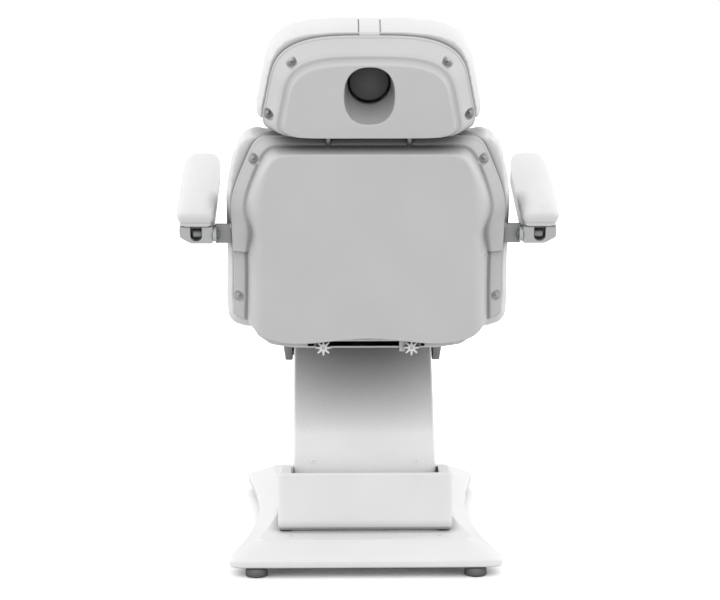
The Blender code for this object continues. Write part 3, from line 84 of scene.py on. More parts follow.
class BedBackSettings(bpy.types.PropertyGroup):
    """Sizes of the backrest, in coordinates that lean with it from its hinge."""

    lean: degrees("Lean", 17.5, "Angle from upright")
    half: length("Half width", 0.311, "From the middle to the shell's side")
    waist: length("Waist", 0.004, "How far the sides draw in halfway up")
    shoulder_start: length("Shoulder start", 0.265, "Height where the shoulder starts")
    shoulder_end: length("Shoulder end", 0.500, "Height where the shoulder would end")
    shoulder_draw: length("Shoulder draw", 0.062, "How far the shoulder draws in")
    foot: length("Foot", -0.100, "Lowest point of the uncut outline")
    top: length("Top", 0.453, "Height of the shell's upper edge")
    rim: length("Rim", 0.0503, "Distance of the rim behind the cushion's middle plane")
    depth: length("Depth", 0.065, "From the rim to the panel")
    edge_depth: length("Edge depth", 0.010, "From the rim to the flange's outer edge")
    valley_depth: length("Valley depth", 0.027, "From the rim to the flange's inner edge")
    flange_width: length("Flange width", 0.033, "Width of the flange at the sides")
    panel_inset: length("Panel inset", 0.082, "From the shell's side to the panel")
    panel_gain: length("Panel gain", 0.026, "How much nearer to the side the panel comes at the shoulder")
    panel_end: length("Panel end inset", 0.028, "From the upper edge to the panel")
    edge: length("Edge rounding", 0.004, "Rounding of the flange's outer edge")
    wall: length("Wall", 0.0028, "Thickness of the moulding")
    lobe_x: length("Lobe", 0.165, "From the middle to the lowest point of each lobe")
    lobe_drop: length("Lobe drop", 0.0405, "How far the lobes hang below the hinge")
    arch_drop: length("Arch drop", 0.0265, "How far the middle of the lower edge hangs below the hinge")
    corner_x: length("Corner", 0.283, "From the middle to where the lower corner is upright")
    flange_foot: length("Flange foot", 0.036, "Height where the lower corner is upright")
    tongue_x: length("Tongue", 0.2665, "From the middle to the side flange's inner edge at its foot")
    tongue_low: length("Tongue low", -0.006, "Lowest point of the side flange")
    tongue_rise: length("Tongue rise", 0.014, "Rise of the side flange's foot to its outer edge")
    groove: length("Groove", 0.004, "How far the flange dips in front of the slope")
    step_height: length("Step height", 0.1725, "Height where the upper flange steps back")
    step_depth: length("Step depth", 0.010, "How far the lower flange is set back")
    shelf_depth: length("Shelf depth", 0.019, "From the rim to the flange's edge over the armrest bar")
    shelf_top: length("Shelf top", 0.262, "Height where that shelf has run out")
    bulge: length("Flange bulge", 0.013, "Extra flange width round the armrest bar")
    bar_height: length("Bar height", 0.214, "Height of the armrest bar")
    bar_depth: length("Bar notch", 0.0132, "Depth of the notch that the armrest bar comes out of")
    pocket: length("Pocket radius", 0.0115, "Radius of a screw pocket")
    pocket_depth: length("Pocket depth", 0.0016, "Depth of a screw pocket at its outer side")
    pocket_soft: length("Pocket softness", 0.0030, "Width over which a pocket's side falls")
    pocket_out: length("Pocket level", 0.008, "How far outwards from its centre a pocket's floor is levelled")
    flange_top: length("Flange top", 0.020, "Width of the flange at the top")
    gain_start: length("Gain start", 0.29, "Height where the panel starts to come nearer to the side")
    gain_rise: length("Gain rise", 0.11, "Height over which it does so")
    notch_half: length("Notch half height", 0.030, "Half the height of the armrest bar's notch")


class BedHeadSettings(bpy.types.PropertyGroup):
    """Sizes of the headrest, in the backrest's coordinates."""

    low: length("Low", 0.4585, "Lower edge of the shell")
    high: length("High", 0.681, "Upper edge of the shell")
    depth: length("Depth", 0.054, "From the rim to the panel")
    cushion_low: length("Cushion low", 0.472, "Lower edge of the cushion")
    cushion_high: length("Cushion high", 0.700, "Upper edge of the cushion")
    low_half: length("Lower half width", 0.260, "Cushion's half width at its lower edge")
    high_half: length("Upper half width", 0.214, "Cushion's half width at its upper edge")
    margin: length("Margin", 0.019, "From the cushion's side to the shell's")
    flange_top: length("Flange top", 0.034, "Width of the flange at the top")
    panel_side: length("Panel inset", 0.052, "From the shell's side to the panel")
    panel_top: length("Panel top inset", 0.053, "From the upper edge to the panel")
    panel_low: length("Panel low inset", 0.003, "From the lower edge to the panel")
    band_depth: length("Band depth", 0.046, "From the rim to the band round the panel")
    slot_half: length("Slot half width", 0.055, "Half width of the face slot")
    slot_low: length("Slot low", 0.4936, "Lower end of the face slot")
    slot_high: length("Slot high", 0.6245, "Upper end of the face slot")
    slot_round: length("Slot rounding", 0.0035, "Rounding of the face slot's edge")
    slot_power: share("Slot power", 2.4, "How square the face slot is: 2 is an ellipse")
    throat: length("Throat radius", 0.0468, "Radius of the slot's inner end")
    hole_height: length("Hole height", 0.571, "Height of the face hole")
    plug_radius: length("Plug radius", 0.0450, "Radius of the face plug")
    strap_half: length("Strap half width", 0.0225, "Half width of the pillow strap")
    strap_thick: length("Strap thickness", 0.0025, "Thickness of the pillow strap")
    strap_centre: length("Strap centre", 0.640, "Height of the point that the strap's path goes round")


class BedBaseSettings(bpy.types.PropertyGroup):
    """Sizes of the base, with y from its rear edge."""

    centre: length("Centre", 0.3941907, "The base's y where the frame's y is nought")
    span: length("Length", 0.93, "Length of the base cover")
    rear_half: length("Rear half width", 0.344, "Half width at the rear")
    waist_half: length("Waist half width", 0.274, "Half width at the waist")
    front_half: length("Front half width", 0.328, "Half width at the front")
    rim_low: length("Rim low", 0.024, "Lower edge of the rim")
    rim_top: length("Rim top", 0.044, "Upper edge of the rim")
    ramp: length("Ramp width", 0.058, "Width of the sloping border")
    top: length("Top", 0.079, "Height of the flat top")
    box_half: length("Box half width", 0.2035, "Half width of the opening under the pivot housing")
    box_rear: length("Box rear", 0.152, "Rear edge of that opening")
    box_front: length("Box front", 0.388, "Front edge of that opening")
    foot_radius: length("Foot radius", 0.027, "Radius of a levelling foot")
    foot_height: length("Foot height", 0.012, "Height of a levelling foot's disc")
    wall: length("Wall", 0.003, "Thickness of the moulding")
    edge: length("Edge rounding", 0.006, "Rounding of the rim's edges")
    screw_x: length("Screw", 0.183, "From the middle to a screw on the ledge")
    screw_y: length("Screw place", 0.098, "From the rear edge to those screws")


class BedArmSettings(bpy.types.PropertyGroup):
    """Sizes of the armrest housings, the lift arm's cover and the stars on the lever pin."""

    cut_wide: length("Cut width", 0.026, "Width of the slanting cut along a housing's lower outer edge")
    cut_high: length("Cut height", 0.015, "Height of that cut")
    edge: length("Edge rounding", 0.006, "Rounding of a housing's edges")
    recess: length("Recess", 0.0125, "Half width of the recess in a housing's rear end")
    recess_depth: length("Recess depth", 0.016, "Depth of that recess")
    hub: length("Hub radius", 0.0185, "Radius of the hub between housing and armrest bar")
    hub_bore: length("Hub bore", 0.010, "Radius of the hub's bore")
    hub_long: length("Hub length", 0.0085, "Length of the hub")
    cover_top: length("Cover top", 0.048, "From the line of the lift arm's pivots up to its cover")
    cover_side: length("Cover side", 0.030, "How far the cover's sides reach below that line")
    cover_over: length("Cover overhang", 0.070, "How far the cover reaches past the upper pivot")
    cover_bend: length("Cover bend", 0.007, "Bending radius of the cover")
    cover_wall: length("Cover wall", 0.003, "Thickness of the cover")
    screw_x: length("Screw", 0.130, "From the middle to a screw in the cover")
    screw_up: length("Screw place", 0.040, "From the lower pivot to those screws, along the arm")
    star: length("Star radius", 0.0135, "Mean radius of a star on the lever pin")
    star_lobe: share("Star lobe", 0.42, "How far a star's lobes stand out, as a share of its radius")
    star_in: length("Star inset", 0.0215, "From the lever pin's end to a star's middle")


class BedSoftSettings(bpy.types.PropertyGroup):
    """How the cushions are filled."""

    pressure: share("Pressure", 4.0, "Pressure inside a cushion while it swells")
    frames: bpy.props.IntProperty(name="Frames", description="Frames of swelling", default=20)
    voxel: length("Voxel", 0.0070, "Mesh size of a big cushion")
    shrink: length("Shrink", 0.002, "How much smaller than its solid a cushion starts")
    swell: length("Swell", 0.022, "Furthest a big cushion's skin moves")
    side_share: share("Side share", 0.35, "How much of the swelling a cushion's sides take part in")
    small_swell: length("Small swell", 0.009, "Furthest a small pad's skin moves")
    tuck: length("Tuck", 0.011, "How far a cushion's side draws in towards its board")
    seam_width: length("Seam width", 0.0026, "Half width of a seam's groove")
    seam_depth: length("Seam depth", 0.0022, "Depth of a seam's groove")


class BedStageSettings(bpy.types.PropertyGroup):
    """Camera and light."""

    lens: share("Lens", 100.0, "Focal length in millimetres on a 36 mm sensor")
    eye: bpy.props.FloatVectorProperty(name="Eye", description="Place of the camera", size=3, unit="LENGTH",
                                       subtype="TRANSLATION", default=(-0.097, -5.0662, 1.377))
    tilt: degrees("Tilt", 8.5, "How far the camera looks down")
    turn: degrees("Turn", 1.0, "How far the camera turns to its right")
    room: share("Room", 1.06, "Brightness of the room all round")
    sides: share("Sides", 1.15, "How much brighter the room is at both sides")
    ground: share("Ground", 0.60, "Lightness of the floor where it lights the object from below")


GROUPS = {"bed_back": BedBackSettings, "bed_head": BedHeadSettings, "bed_base": BedBaseSettings,
          "bed_arm": BedArmSettings, "bed_soft": BedSoftSettings, "bed_stage": BedStageSettings}
SIDES = ((-1, "left"), (1, "right"))


# Surfaces

def ease(value):
    """Smooth rise from 0 to 1."""
    value = np.clip(value, 0.0, 1.0)
    return value * value * (3 - 2 * value)


def ramp(value, round_share=0.22):
    """Straight rise from 0 to 1 whose two ends are parabolas, each over round_share of the way."""
    value = np.clip(value, 0.0, 1.0)
    bend = 2 * round_share * (1 - round_share)
    middle = (value - round_share / 2) / (1 - round_share)
    rising = np.where(value < round_share, value ** 2 / bend, middle)
    return np.where(value > 1 - round_share, 1 - (1 - value) ** 2 / bend, rising)


def fillet(points, radius, steps=6):
    """A path through points whose inner corners are bent over radius: each becomes a quadratic Bezier arc."""
    points = np.asarray(points, float)
    before, corner, after = points[:-2], points[1:-1], points[2:]
    reach = np.minimum(radius, 0.49 * np.minimum(np.linalg.norm(before - corner, axis=1),
                                                 np.linalg.norm(after - corner, axis=1)))[:, None]
    start = corner + reach * (before - corner) / np.linalg.norm(before - corner, axis=1)[:, None]
    end = corner + reach * (after - corner) / np.linalg.norm(after - corner, axis=1)[:, None]
    t = np.linspace(0, 1, steps)[None, :, None]
    arcs = (1 - t) ** 2 * start[:, None] + 2 * t * (1 - t) * corner[:, None] + t ** 2 * end[:, None]
    return np.concatenate([points[:1], arcs.reshape(-1, points.shape[1]), points[-1:]])


def outline(low, high, half, corner, count, crowd=0.72):
    """Superellipse outline from the middle of its foot, right side first: |x/half|^p + |z/half height|^p = 1,
    with p = corner[0] above the middle and corner[1] below, and half a function of the height."""
    even = np.linspace(-0.5, 1.5, count) * np.pi
    angle = even + crowd * np.sin(4 * even) / 4
    c, s = np.cos(angle), np.sin(angle)
    power = np.where(s >= 0, corner[0], corner[1])
    reach = (np.abs(c) ** power + np.abs(s) ** power) ** (-1 / power)
    z = (low + high) / 2 + (high - low) / 2 * reach * s
    return half(z) * reach * c, z


def evenly(x, z, count):
    """Count points at even steps along the path x, z."""
    run = np.concatenate([[0.0], np.cumsum(np.hypot(np.diff(x), np.diff(z)))])
    at = np.linspace(0, run[-1], count)
    return np.interp(at, run, x), np.interp(at, run, z)


def joint_place(name):
    """Where a joint of the frame is."""
    return next(np.array(joint["pos_m"]) for joint in frame["joints"] if joint["name"] == name)


def turned(y, z, way):
    """y and z turned about +X by the backrest's lean, or back by it where way is -1."""
    lean = way * bpy.context.scene.bed_back.lean
    return y * math.cos(lean) - z * math.sin(lean), y * math.sin(lean) + z * math.cos(lean)


def leaned(x, y, z):
    """Backrest coordinates to the frame's: turned by the lean, then moved to the back hinge."""
    x, y, z = np.broadcast_arrays(x, y, z)
    return np.stack([x, *turned(y, z, 1)], axis=-1) + joint_place("back_recline")


def upright(points):
    """The frame's coordinates back to the backrest's."""
    x, y, z = (np.asarray(points) - joint_place("back_recline")).T
    return x, *turned(y, z, -1)


def rearwards():
    """The way out of the backrest's rear."""
    return leaned(0.0, -1.0, 0.0) - leaned(0.0, 0.0, 0.0)


def vectors(collection, field):
    """A vector of each element of a mesh as an array."""
    flat = np.empty(len(collection) * 3, dtype=np.float32)
    collection.foreach_get(field, flat)
    return flat.reshape(-1, 3).astype(float)


def coordinates(mesh):
    """Vertex places of a mesh as an array."""
    return vectors(mesh.vertices, "co")


def move_to(mesh, places):
    """Puts the vertices of a mesh at places."""
    mesh.vertices.foreach_set("co", places.astype(np.float32).ravel())
    mesh.update()


def grid_faces(rows, columns, wrap):
    """Corner numbers of a grid's faces, the last column joined to the first where it wraps."""
    numbers = np.arange(rows * columns).reshape(rows, columns)
    if wrap:
        numbers = np.concatenate([numbers, numbers[:, :1]], axis=1)
    return np.stack([numbers[:-1, :-1], numbers[:-1, 1:], numbers[1:, 1:], numbers[1:, :-1]],
                    axis=-1).reshape(-1, 4)


def smooth_faces(mesh):
    """Shades all faces of a mesh smooth."""
    mesh.polygons.foreach_set("use_smooth", np.ones(len(mesh.polygons), dtype=bool))


def new_piece(name, points, faces, slot, body, node=None, facing=None, wall=0.0, sheltered=False):
    """A mesh object of points and faces that rides on body and replaces node where one is given. It is welded where
    points meet, its faces are turned towards facing, an open surface gets a wall inwards, and a deep piece gets the
    copy of its finish whose painted shade reaches further."""
    mesh = bpy.data.meshes.new(name)
    mesh.from_pydata(points.reshape(-1, 3), [], faces.tolist())
    work = bmesh.new()
    work.from_mesh(mesh)
    bmesh.ops.remove_doubles(work, verts=work.verts, dist=2e-6)
    bmesh.ops.dissolve_degenerate(work, edges=work.edges, dist=1e-6)
    bmesh.ops.recalc_face_normals(work, faces=work.faces)
    work.to_mesh(mesh)
    work.free()
    if facing is not None:
        areas = np.empty(len(mesh.polygons))
        mesh.polygons.foreach_get("area", areas)
        if areas @ vectors(mesh.polygons, "normal") @ np.asarray(facing) < 0:
            mesh.flip_normals()
    smooth_faces(mesh)
    mesh.set_sharp_from_angle(angle=math.radians(35.0))
    mesh.materials.append(finish(slot, sheltered))
    made = bpy.data.objects.new(name, mesh)
    bpy.context.scene.collection.objects.link(made)
    if wall:
        inwards = made.modifiers.new("Wall", "SOLIDIFY")
        inwards.thickness, inwards.offset = wall, -1.0
    if node:
        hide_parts(node)
    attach(made, body)


def lathe(name, profile, axis, centre, slot, body, node=None, count=64, across=(1, 0, 0)):
    """A profile of (radius, height) pairs turned about axis through centre, the first column along across."""
    radius, height = np.asarray(profile, float).T[:, :, None, None]
    turn = np.linspace(0, 2 * np.pi, count, endpoint=False)[None, :, None]
    axis, across = np.asarray(axis, float), np.asarray(across, float)
    points = (np.asarray(centre) + height * axis
              + radius * (np.cos(turn) * across + np.sin(turn) * np.cross(axis, across)))
    new_piece(name, points, grid_faces(len(radius), count, True), slot, body, node)


def tray_rows():
    """Rows of a moulded tray from its rim to its panel. Each row has four shares: of the skirt, of the quarter round
    in radians, of the flange and of the slope."""
    skirt, turn = np.linspace(0, 1, 3), np.linspace(0, np.pi / 2, 5)[1:]
    flange, slope = np.linspace(0, 1, 15)[1:], np.linspace(0, 1, 22)[1:] ** 1.3
    rows = np.zeros((4, len(skirt) + len(turn) + len(flange) + len(slope)))
    ends = np.cumsum([0, len(skirt), len(turn), len(flange), len(slope)])
    for row, part, first, last, full in zip(rows, (skirt, turn, flange, slope), ends[:-1], ends[1:],
                                            (1.0, np.pi / 2, 1.0, 1.0)):
        row[first:last] = part
        row[last:] = full
    return rows


BACK_POCKETS = ((0.257, 0.398), (0.296, 0.056))
HEAD_POCKETS = ((0.170, 0.630), (0.222, 0.505))


def pocketed(back, x, y, z, centres):
    """The surface's y with a flat-bottomed round pocket at each centre and its mirror image. A pocket's floor lies
    just under the surface at the grid point nearest to its outer side, where a point of the skirt counts as further
    away."""
    cut, skirt_level, skirt_away = y, -0.054, 0.02
    for cx, cz in centres:
        off = np.hypot(x - (cx + back.pocket_out), z - cz) + skirt_away * (y > skirt_level)
        floor = y.ravel()[np.argmin(off)] + back.pocket_depth
        inside = ease((back.pocket - np.hypot(np.abs(x) - cx, z - cz)) / back.pocket_soft + 0.5)
        cut = cut + np.maximum(floor - cut, 0.0) * inside
    return cut


def lower_edge(back, x):
    """Lower edge of the back shell: an arch in the middle between two lobes, a quarter ellipse up from each, and a
    tongue where the side flange hangs down."""
    x = np.abs(x)
    arch = -back.arch_drop - (back.lobe_drop - back.arch_drop) * ease(x / back.lobe_x)
    side = np.clip((x - back.lobe_x) / (back.corner_x - back.lobe_x), 0.0, 1.0)
    rise = back.flange_foot - (back.flange_foot + back.lobe_drop) * np.sqrt(1 - side ** 2)
    out = np.clip((x - back.tongue_x) / (back.half - 0.010 - back.tongue_x), 0.0, 2.0)
    tongue = back.tongue_low + back.tongue_rise * out ** 1.6
    return np.where(x < back.lobe_x, arch, np.where(x < back.tongue_x, rise, tongue))


def back_half(back, z):
    """Half width of the back shell: waisted below, drawn in smoothly at the shoulder."""
    waist = back.waist * np.sin(np.pi * np.clip(z / back.shoulder_start, 0.0, 1.0))
    rise = ease((z - back.shoulder_start) / (back.shoulder_end - back.shoulder_start))
    return back.half - waist - back.shoulder_draw * rise


def back_depths(back, z):
    """Depths of the back shell's flange at its outer and inner edge at height z: deeper over the armrest bar, set back
    below the step."""
    shelf_run, step_run, step_share = 0.05, 0.0016, 0.4
    over = ease((back.shelf_top - z) / shelf_run)
    under = ease((back.step_height - z) / step_run + 0.5)
    outer = back.edge_depth + (back.shelf_depth - back.edge_depth) * over
    outer = outer - (back.shelf_depth - back.edge_depth + step_share * back.step_depth) * under
    return outer, back.valley_depth - back.step_depth * under


def back_shell_surface(back, count=960, fill=8):
    """The back shell: rows of nested outlines cut at the lower edge, each at its depth, then rows that close the
    flat panel towards a middle line. The flange leans outwards, steps back below the armrest bar, widens round it
    and is notched for it. The slope rises as 1 - (1 - g)^2.6 from a small groove."""
    corners, slope_power, step_power, groove_power, groove_start = (16, 10), 2.6, 10, 12, 0.72
    bulge_up, bulge_run, notch_run, notch_inner, spine_gap, foot_run = 0.010, 0.040, 0.003, 0.2, 0.06, 0.12

    def flange_width(z):
        above = back.bulge * np.exp(-((z - back.bar_height - bulge_up) / bulge_run) ** 2)
        return back.flange_width + np.where(z > back.step_height, above, 0.0)

    x, y, z = [], [], []
    for skirt, turn, flange, slope in tray_rows().T:
        inset = back.edge * (1 - math.cos(turn))

        def half(at, inset=inset, flange=flange, slope=slope):
            width = flange_width(at)
            panel = back.panel_inset - back.panel_gain * ease((at - back.gain_start) / back.gain_rise)
            return back_half(back, at) - inset - (width - back.edge) * flange - (panel - width) * slope

        end = inset + (back.flange_top - back.edge) * flange + (back.panel_end - back.flange_top) * slope
        ring_x, ring_z = outline(back.foot, back.top - end, half, corners, 6 * count)
        above = ring_z >= lower_edge(back, ring_x)
        first, last = np.flatnonzero(above)[[0, -1]]
        row_x, row_z = evenly(ring_x[first:last + 1], ring_z[first:last + 1], count)
        row_z[[0, -1]] = lower_edge(back, row_x[[0, -1]])
        outer, inner = back_depths(back, row_z)
        notch = ease((back.notch_half - np.abs(row_z - back.bar_height)) / notch_run)
        start = back.bar_depth * notch * (np.abs(row_x) > notch_inner)
        deep = (start + skirt * (outer - back.edge - start) + back.edge * math.sin(turn) + (inner - outer) * flange
                + (back.depth - back.valley_depth) * (1 - (1 - slope) ** slope_power)
                + (back.valley_depth - inner) * (1 - (1 - slope) ** step_power)
                - back.groove * ease((flange - groove_start) / (1 - groove_start)) * (1 - slope) ** groove_power)
        x.append(row_x)
        y.append(-back.rim - deep)
        z.append(row_z)
    side_x, side_z, side_y = x[-1], z[-1], y[-1]
    run = np.linspace(0, 2, count)
    up = np.where(run > 1, 2 - run, run)
    foot = lower_edge(back, np.zeros(1))[0]
    spine = foot + (back.top - back.panel_end - spine_gap - foot) * up
    near_foot = np.clip(1 - up / foot_run, 0.0, 1.0) ** 2
    end_low = lower_edge(back, side_x[0])
    for part in np.linspace(0, 1, fill + 1)[1:]:
        row_x = side_x * (1 - part)
        straight = end_low + (foot - end_low) * part
        x.append(row_x)
        y.append(side_y)
        z.append(side_z * (1 - part) + spine * part + near_foot * (lower_edge(back, row_x) - straight))
    x, y, z = np.array(x), np.array(y), np.array(z)
    return x, pocketed(back, x, y, z, BACK_POCKETS), z


def head_half(head, z):
    """Half width of the head shell, narrower towards its top."""
    up = (z - head.cushion_low) / (head.cushion_high - head.cushion_low)
    return head.low_half + (head.high_half - head.low_half) * up - head.margin


def slot_reach(head, x, z, grow):
    """How many times the face slot's outline, grown by grow, is passed: a superellipse."""
    middle, tall = (head.slot_low + head.slot_high) / 2, (head.slot_high - head.slot_low) / 2
    power = head.slot_power
    return (np.abs(x / (head.slot_half + grow)) ** power
            + np.abs((z - middle) / (tall + grow)) ** power) ** (1 / power)


def head_shell_surface(back, head, count=680, fill=10):
    """The head shell: rows of nested superellipses from rim to panel, rows from the panel's edge to the face
    slot, then the slot's quarter round and a throat that runs to a circle at the rim. A point that falls in the slot
    moves out to its edge. Inside the flange comes a flat band, then a short rise to the panel."""
    corner = (3.4, 8)
    skirt, turn, flange, slope = (part[:, None] for part in tray_rows())
    middle, tall = (head.slot_low + head.slot_high) / 2, (head.slot_high - head.slot_low) / 2
    inset = back.edge * (1 - np.cos(turn))

    def insets(edge, flange, slope):
        side = edge + (back.flange_width - back.edge) * flange + (head.panel_side - back.flange_width) * slope
        top = edge + (head.flange_top - back.edge) * flange + (head.panel_top - head.flange_top) * slope
        return side, top, head.panel_low * np.clip(edge / back.edge * 0.3 + 0.7 * slope, 0.0, 1.0)

    def depth(flange, slope):
        return (back.edge_depth + (head.band_depth - back.edge_depth) * flange
                + (head.depth - head.band_depth) * ramp((slope - 0.42) / 0.58, 0.3)
                - 0.6 * back.groove * ease((flange - 0.8) / 0.2) * (1 - ease((slope - 0.3) / 0.4)))

    def passed(x, z, step):
        """How far a point is outside the nested outline at step, from 0 at the edge to 2 at the panel."""
        side, top, low = insets(back.edge, np.clip(step, 0, 1), np.clip(step - 1, 0, 1))
        centre = (head.low + low + head.high - top) / 2
        high = (head.high - top - head.low - low) / 2
        power = np.where(z >= centre, corner[0], corner[1])
        return (np.abs(x / (head_half(head, z) - side)) ** power + np.abs((z - centre) / high) ** power) - 1

    rows_x, rows_z = [], []
    for side, top, low in zip(*(part[:, 0] for part in insets(inset, flange, slope))):
        x, z = outline(head.low + low, head.high - top, lambda at, side=side: head_half(head, at) - side,
                       corner, 6 * count)
        x, z = evenly(x, z, count + 1)
        rows_x.append(x[:-1])
        rows_z.append(z[:-1])
    x, z = np.array(rows_x), np.array(rows_z)
    y = np.broadcast_to(depth(flange, slope) + (skirt - 1) * (back.edge_depth - back.edge)
                        + back.edge * (np.sin(turn) - 1), x.shape)
    reach = slot_reach(head, x, z, head.slot_round)
    moved = reach < 1
    x = np.where(moved, x / reach, x)
    z = np.where(moved, middle + (z - middle) / reach, z)
    before, after = np.zeros_like(x), np.full_like(x, 2.0)
    for _ in range(30):
        step = (before + after) / 2
        outside = passed(x, z, step) > 0
        after = np.where(outside, step, after)
        before = np.where(outside, before, step)
    y = np.where(moved, depth(np.clip(before, 0, 1), np.clip(before - 1, 0, 1)), y)
    reach = slot_reach(head, x[-1], z[-1], head.slot_round)
    slot_x, slot_z = x[-1] / reach, middle + (z[-1] - middle) / reach
    part = np.linspace(0, 1, fill + 1)[1:, None]
    fill_x = x[-1] * (1 - part) + slot_x * part
    fill_z = z[-1] * (1 - part) + slot_z * part
    fill_y = np.broadcast_to(y[-1], fill_x.shape)
    round_turn, throat = np.linspace(0, np.pi / 2, 6)[1:, None], np.linspace(0, 1, 13)[1:, None]
    grown = head.slot_half + head.slot_round, tall + head.slot_round
    lip = head.slot_round * (1 - np.sin(round_turn))
    lip_x = slot_x * (head.slot_half + lip) / grown[0]
    lip_z = middle + (slot_z - middle) * (tall + lip) / grown[1]
    lip_y = y[-1] - head.slot_round * (1 - np.cos(round_turn))
    angle = np.arctan2((lip_z[-1] - middle) / tall, lip_x[-1] / head.slot_half)
    blend = throat ** 1.3
    deep_x = lip_x[-1] * (1 - blend) + head.throat * np.cos(angle) * blend
    deep_z = lip_z[-1] * (1 - blend) + (head.hole_height + head.throat * np.sin(angle)) * blend
    deep_y = lip_y[-1] * (1 - throat)
    x = np.concatenate([x, fill_x, lip_x, deep_x])
    z = np.concatenate([z, fill_z, lip_z, deep_z])
    y = -back.rim - np.concatenate([y, fill_y, lip_y, deep_y])
    return x, pocketed(back, x, y, z, HEAD_POCKETS), z


# Finishes

# Slot: linear colour, roughness, metal, kind of surface
SLOTS = {
    "white_vinyl": ((0.69, 0.69, 0.688), 0.42, 0.0, "upholstery"),
    "pale_grey_shell": ((0.55, 0.55, 0.55), 0.38, 0.0, "shell"),
    "white_plastic": ((0.79, 0.79, 0.79), 0.36, 0.0, "moulded"),
    "white_paint": ((0.93, 0.93, 0.93), 0.32, 0.0, "painted"),
    "grey_paint": ((0.30, 0.305, 0.31), 0.38, 0.0, "painted"),
    "grey_plastic": ((0.48, 0.485, 0.49), 0.42, 0.0, "moulded"),
    "foot_rubber": ((0.17, 0.17, 0.175), 0.62, 0.0, "moulded"),
    "bright_steel": ((0.72, 0.72, 0.72), 0.24, 1.0, "painted"),
    "dark_foam": ((0.10, 0.10, 0.102), 0.75, 0.0, "upholstery"),
    "motor_black": ((0.035, 0.035, 0.037), 0.45, 0.0, "moulded"),
}

# Kind of surface: grain size, grain depth, share of pebbles, edge rounding, reach of the shade painted into hollows
GRAINS = {"upholstery": (0.0016, 0.0004, 0.7, 0.0, 0.05), "moulded": (0.0009, 0.00012, 0.2, 0.0008, 0.03),
          "shell": (0.0009, 0.00012, 0.2, 0.0008, 0.10), "painted": (0.0014, 0.00008, 0.1, 0.0008, 0.05),
          # Copy of painted with a far longer reach of painted shade, for pieces deep under the seat and backrest
          "sheltered": (0.0014, 0.00008, 0.1, 0.0008, 0.26)}
ROUGH_SPREAD = 0.12


def shade(tree, kind, output, inputs, **settings):
    """The named output of a new node whose inputs are constants or other nodes' outputs."""
    made = tree.nodes.new("ShaderNode" + kind)
    for name, value in settings.items():
        setattr(made, name, value)
    for name, value in inputs.items():
        if isinstance(value, bpy.types.NodeSocket):
            tree.links.new(value, made.inputs[name])
        else:
            made.inputs[name].default_value = value
    return made.outputs[output]


def surface_group(kind):
    """A shader group that varies a colour and a roughness by slow and fine noise, gives a grained normal with rounded
    edges, and paints shade into the colour where something is near, from an ambient occlusion node."""
    name = "bed_" + kind
    if name in bpy.data.node_groups:
        return bpy.data.node_groups[name]
    grain, depth, cells, edge, hollow = GRAINS[kind]
    tree = bpy.data.node_groups.new(name, "ShaderNodeTree")
    for way, sockets in (("INPUT", (("Vector", "Vector"), ("Colour", "Color"), ("Roughness", "Float"))),
                         ("OUTPUT", (("Colour", "Color"), ("Roughness", "Float"), ("Normal", "Vector")))):
        for socket, type_name in sockets:
            tree.interface.new_socket(socket, in_out=way, socket_type="NodeSocket" + type_name)
    given, out = tree.nodes.new("NodeGroupInput"), tree.nodes.new("NodeGroupOutput")
    place = given.outputs["Vector"]
    slow = shade(tree, "TexNoise", "Fac", {"Vector": place, "Scale": 7.0, "Detail": 4.0})
    fine = shade(tree, "TexNoise", "Fac", {"Vector": place, "Scale": 1 / grain, "Detail": 3.0})
    pebble = shade(tree, "TexVoronoi", "Distance", {"Vector": place, "Scale": 0.55 / grain})
    grained = shade(tree, "Mix", "Result", {"Factor": cells, "A": fine, "B": pebble})
    tint = shade(tree, "MapRange", "Result", {"Value": slow, "From Min": 0.3, "From Max": 0.7, "To Min": 0.955,
                                              "To Max": 1.0})
    worn = shade(tree, "MapRange", "Result", {"Value": grained, "From Min": 0.2, "From Max": 0.8, "To Min": 0.965,
                                              "To Max": 1.0})
    # Painted shade: the colour is darkened by ambient occlusion near other surfaces, in corners, creases, valleys and
    # under parts
    open_share = shade(tree, "AmbientOcclusion", "AO", {"Distance": hollow}, samples=6)
    painted_shade = shade(tree, "Math", "Value", {0: open_share, 1: 1.1}, operation="POWER")
    both = shade(tree, "Math", "Value", {0: tint, 1: worn}, operation="MULTIPLY")
    all_three = shade(tree, "Math", "Value", {0: both, 1: painted_shade}, operation="MULTIPLY")
    bevel = shade(tree, "Bevel", "Normal", {"Radius": edge}, samples=4)
    for output, value in (
            ("Colour", shade(tree, "VectorMath", "Vector", {0: given.outputs["Colour"], "Scale": all_three},
                             operation="SCALE")),
            ("Roughness", shade(tree, "Math", "Value", {0: slow, 1: ROUGH_SPREAD, 2: given.outputs["Roughness"]},
                                operation="MULTIPLY_ADD")),
            ("Normal", shade(tree, "Bump", "Normal", {"Distance": depth, "Strength": 0.6, "Normal": bevel,
                                                      "Height": grained}))):
        tree.links.new(value, out.inputs[output])
    return tree


def finish(slot, sheltered=False):
    """The material of a slot, made once, or its copy with a longer reach of painted shade for a piece that stands in a
    deep hollow.
    """
    tone, rough, metal, kind = SLOTS[slot]
    kind = "sheltered" if sheltered else kind
    name = f"bed_{slot}_{kind}"
    if name in bpy.data.materials:
        return bpy.data.materials[name]
    material = bpy.data.materials.new(name)
    material.use_nodes = True
    material.diffuse_color = (*tone, 1.0)
    tree = material.node_tree
    shader = next(node for node in tree.nodes if node.type == "BSDF_PRINCIPLED")
    shader.inputs["Metallic"].default_value = metal
    group = tree.nodes.new("ShaderNodeGroup")
    group.node_tree = surface_group(kind)
    group.inputs["Colour"].default_value = (*tone, 1.0)
    group.inputs["Roughness"].default_value = rough - ROUGH_SPREAD / 2
    tree.links.new(shade(tree, "TexCoord", "Object", {}), group.inputs["Vector"])
    for output, end in (("Colour", "Base Color"), ("Roughness", "Roughness"), ("Normal", "Normal")):
        tree.links.new(group.outputs[output], shader.inputs[end])
    return material


# Cushions

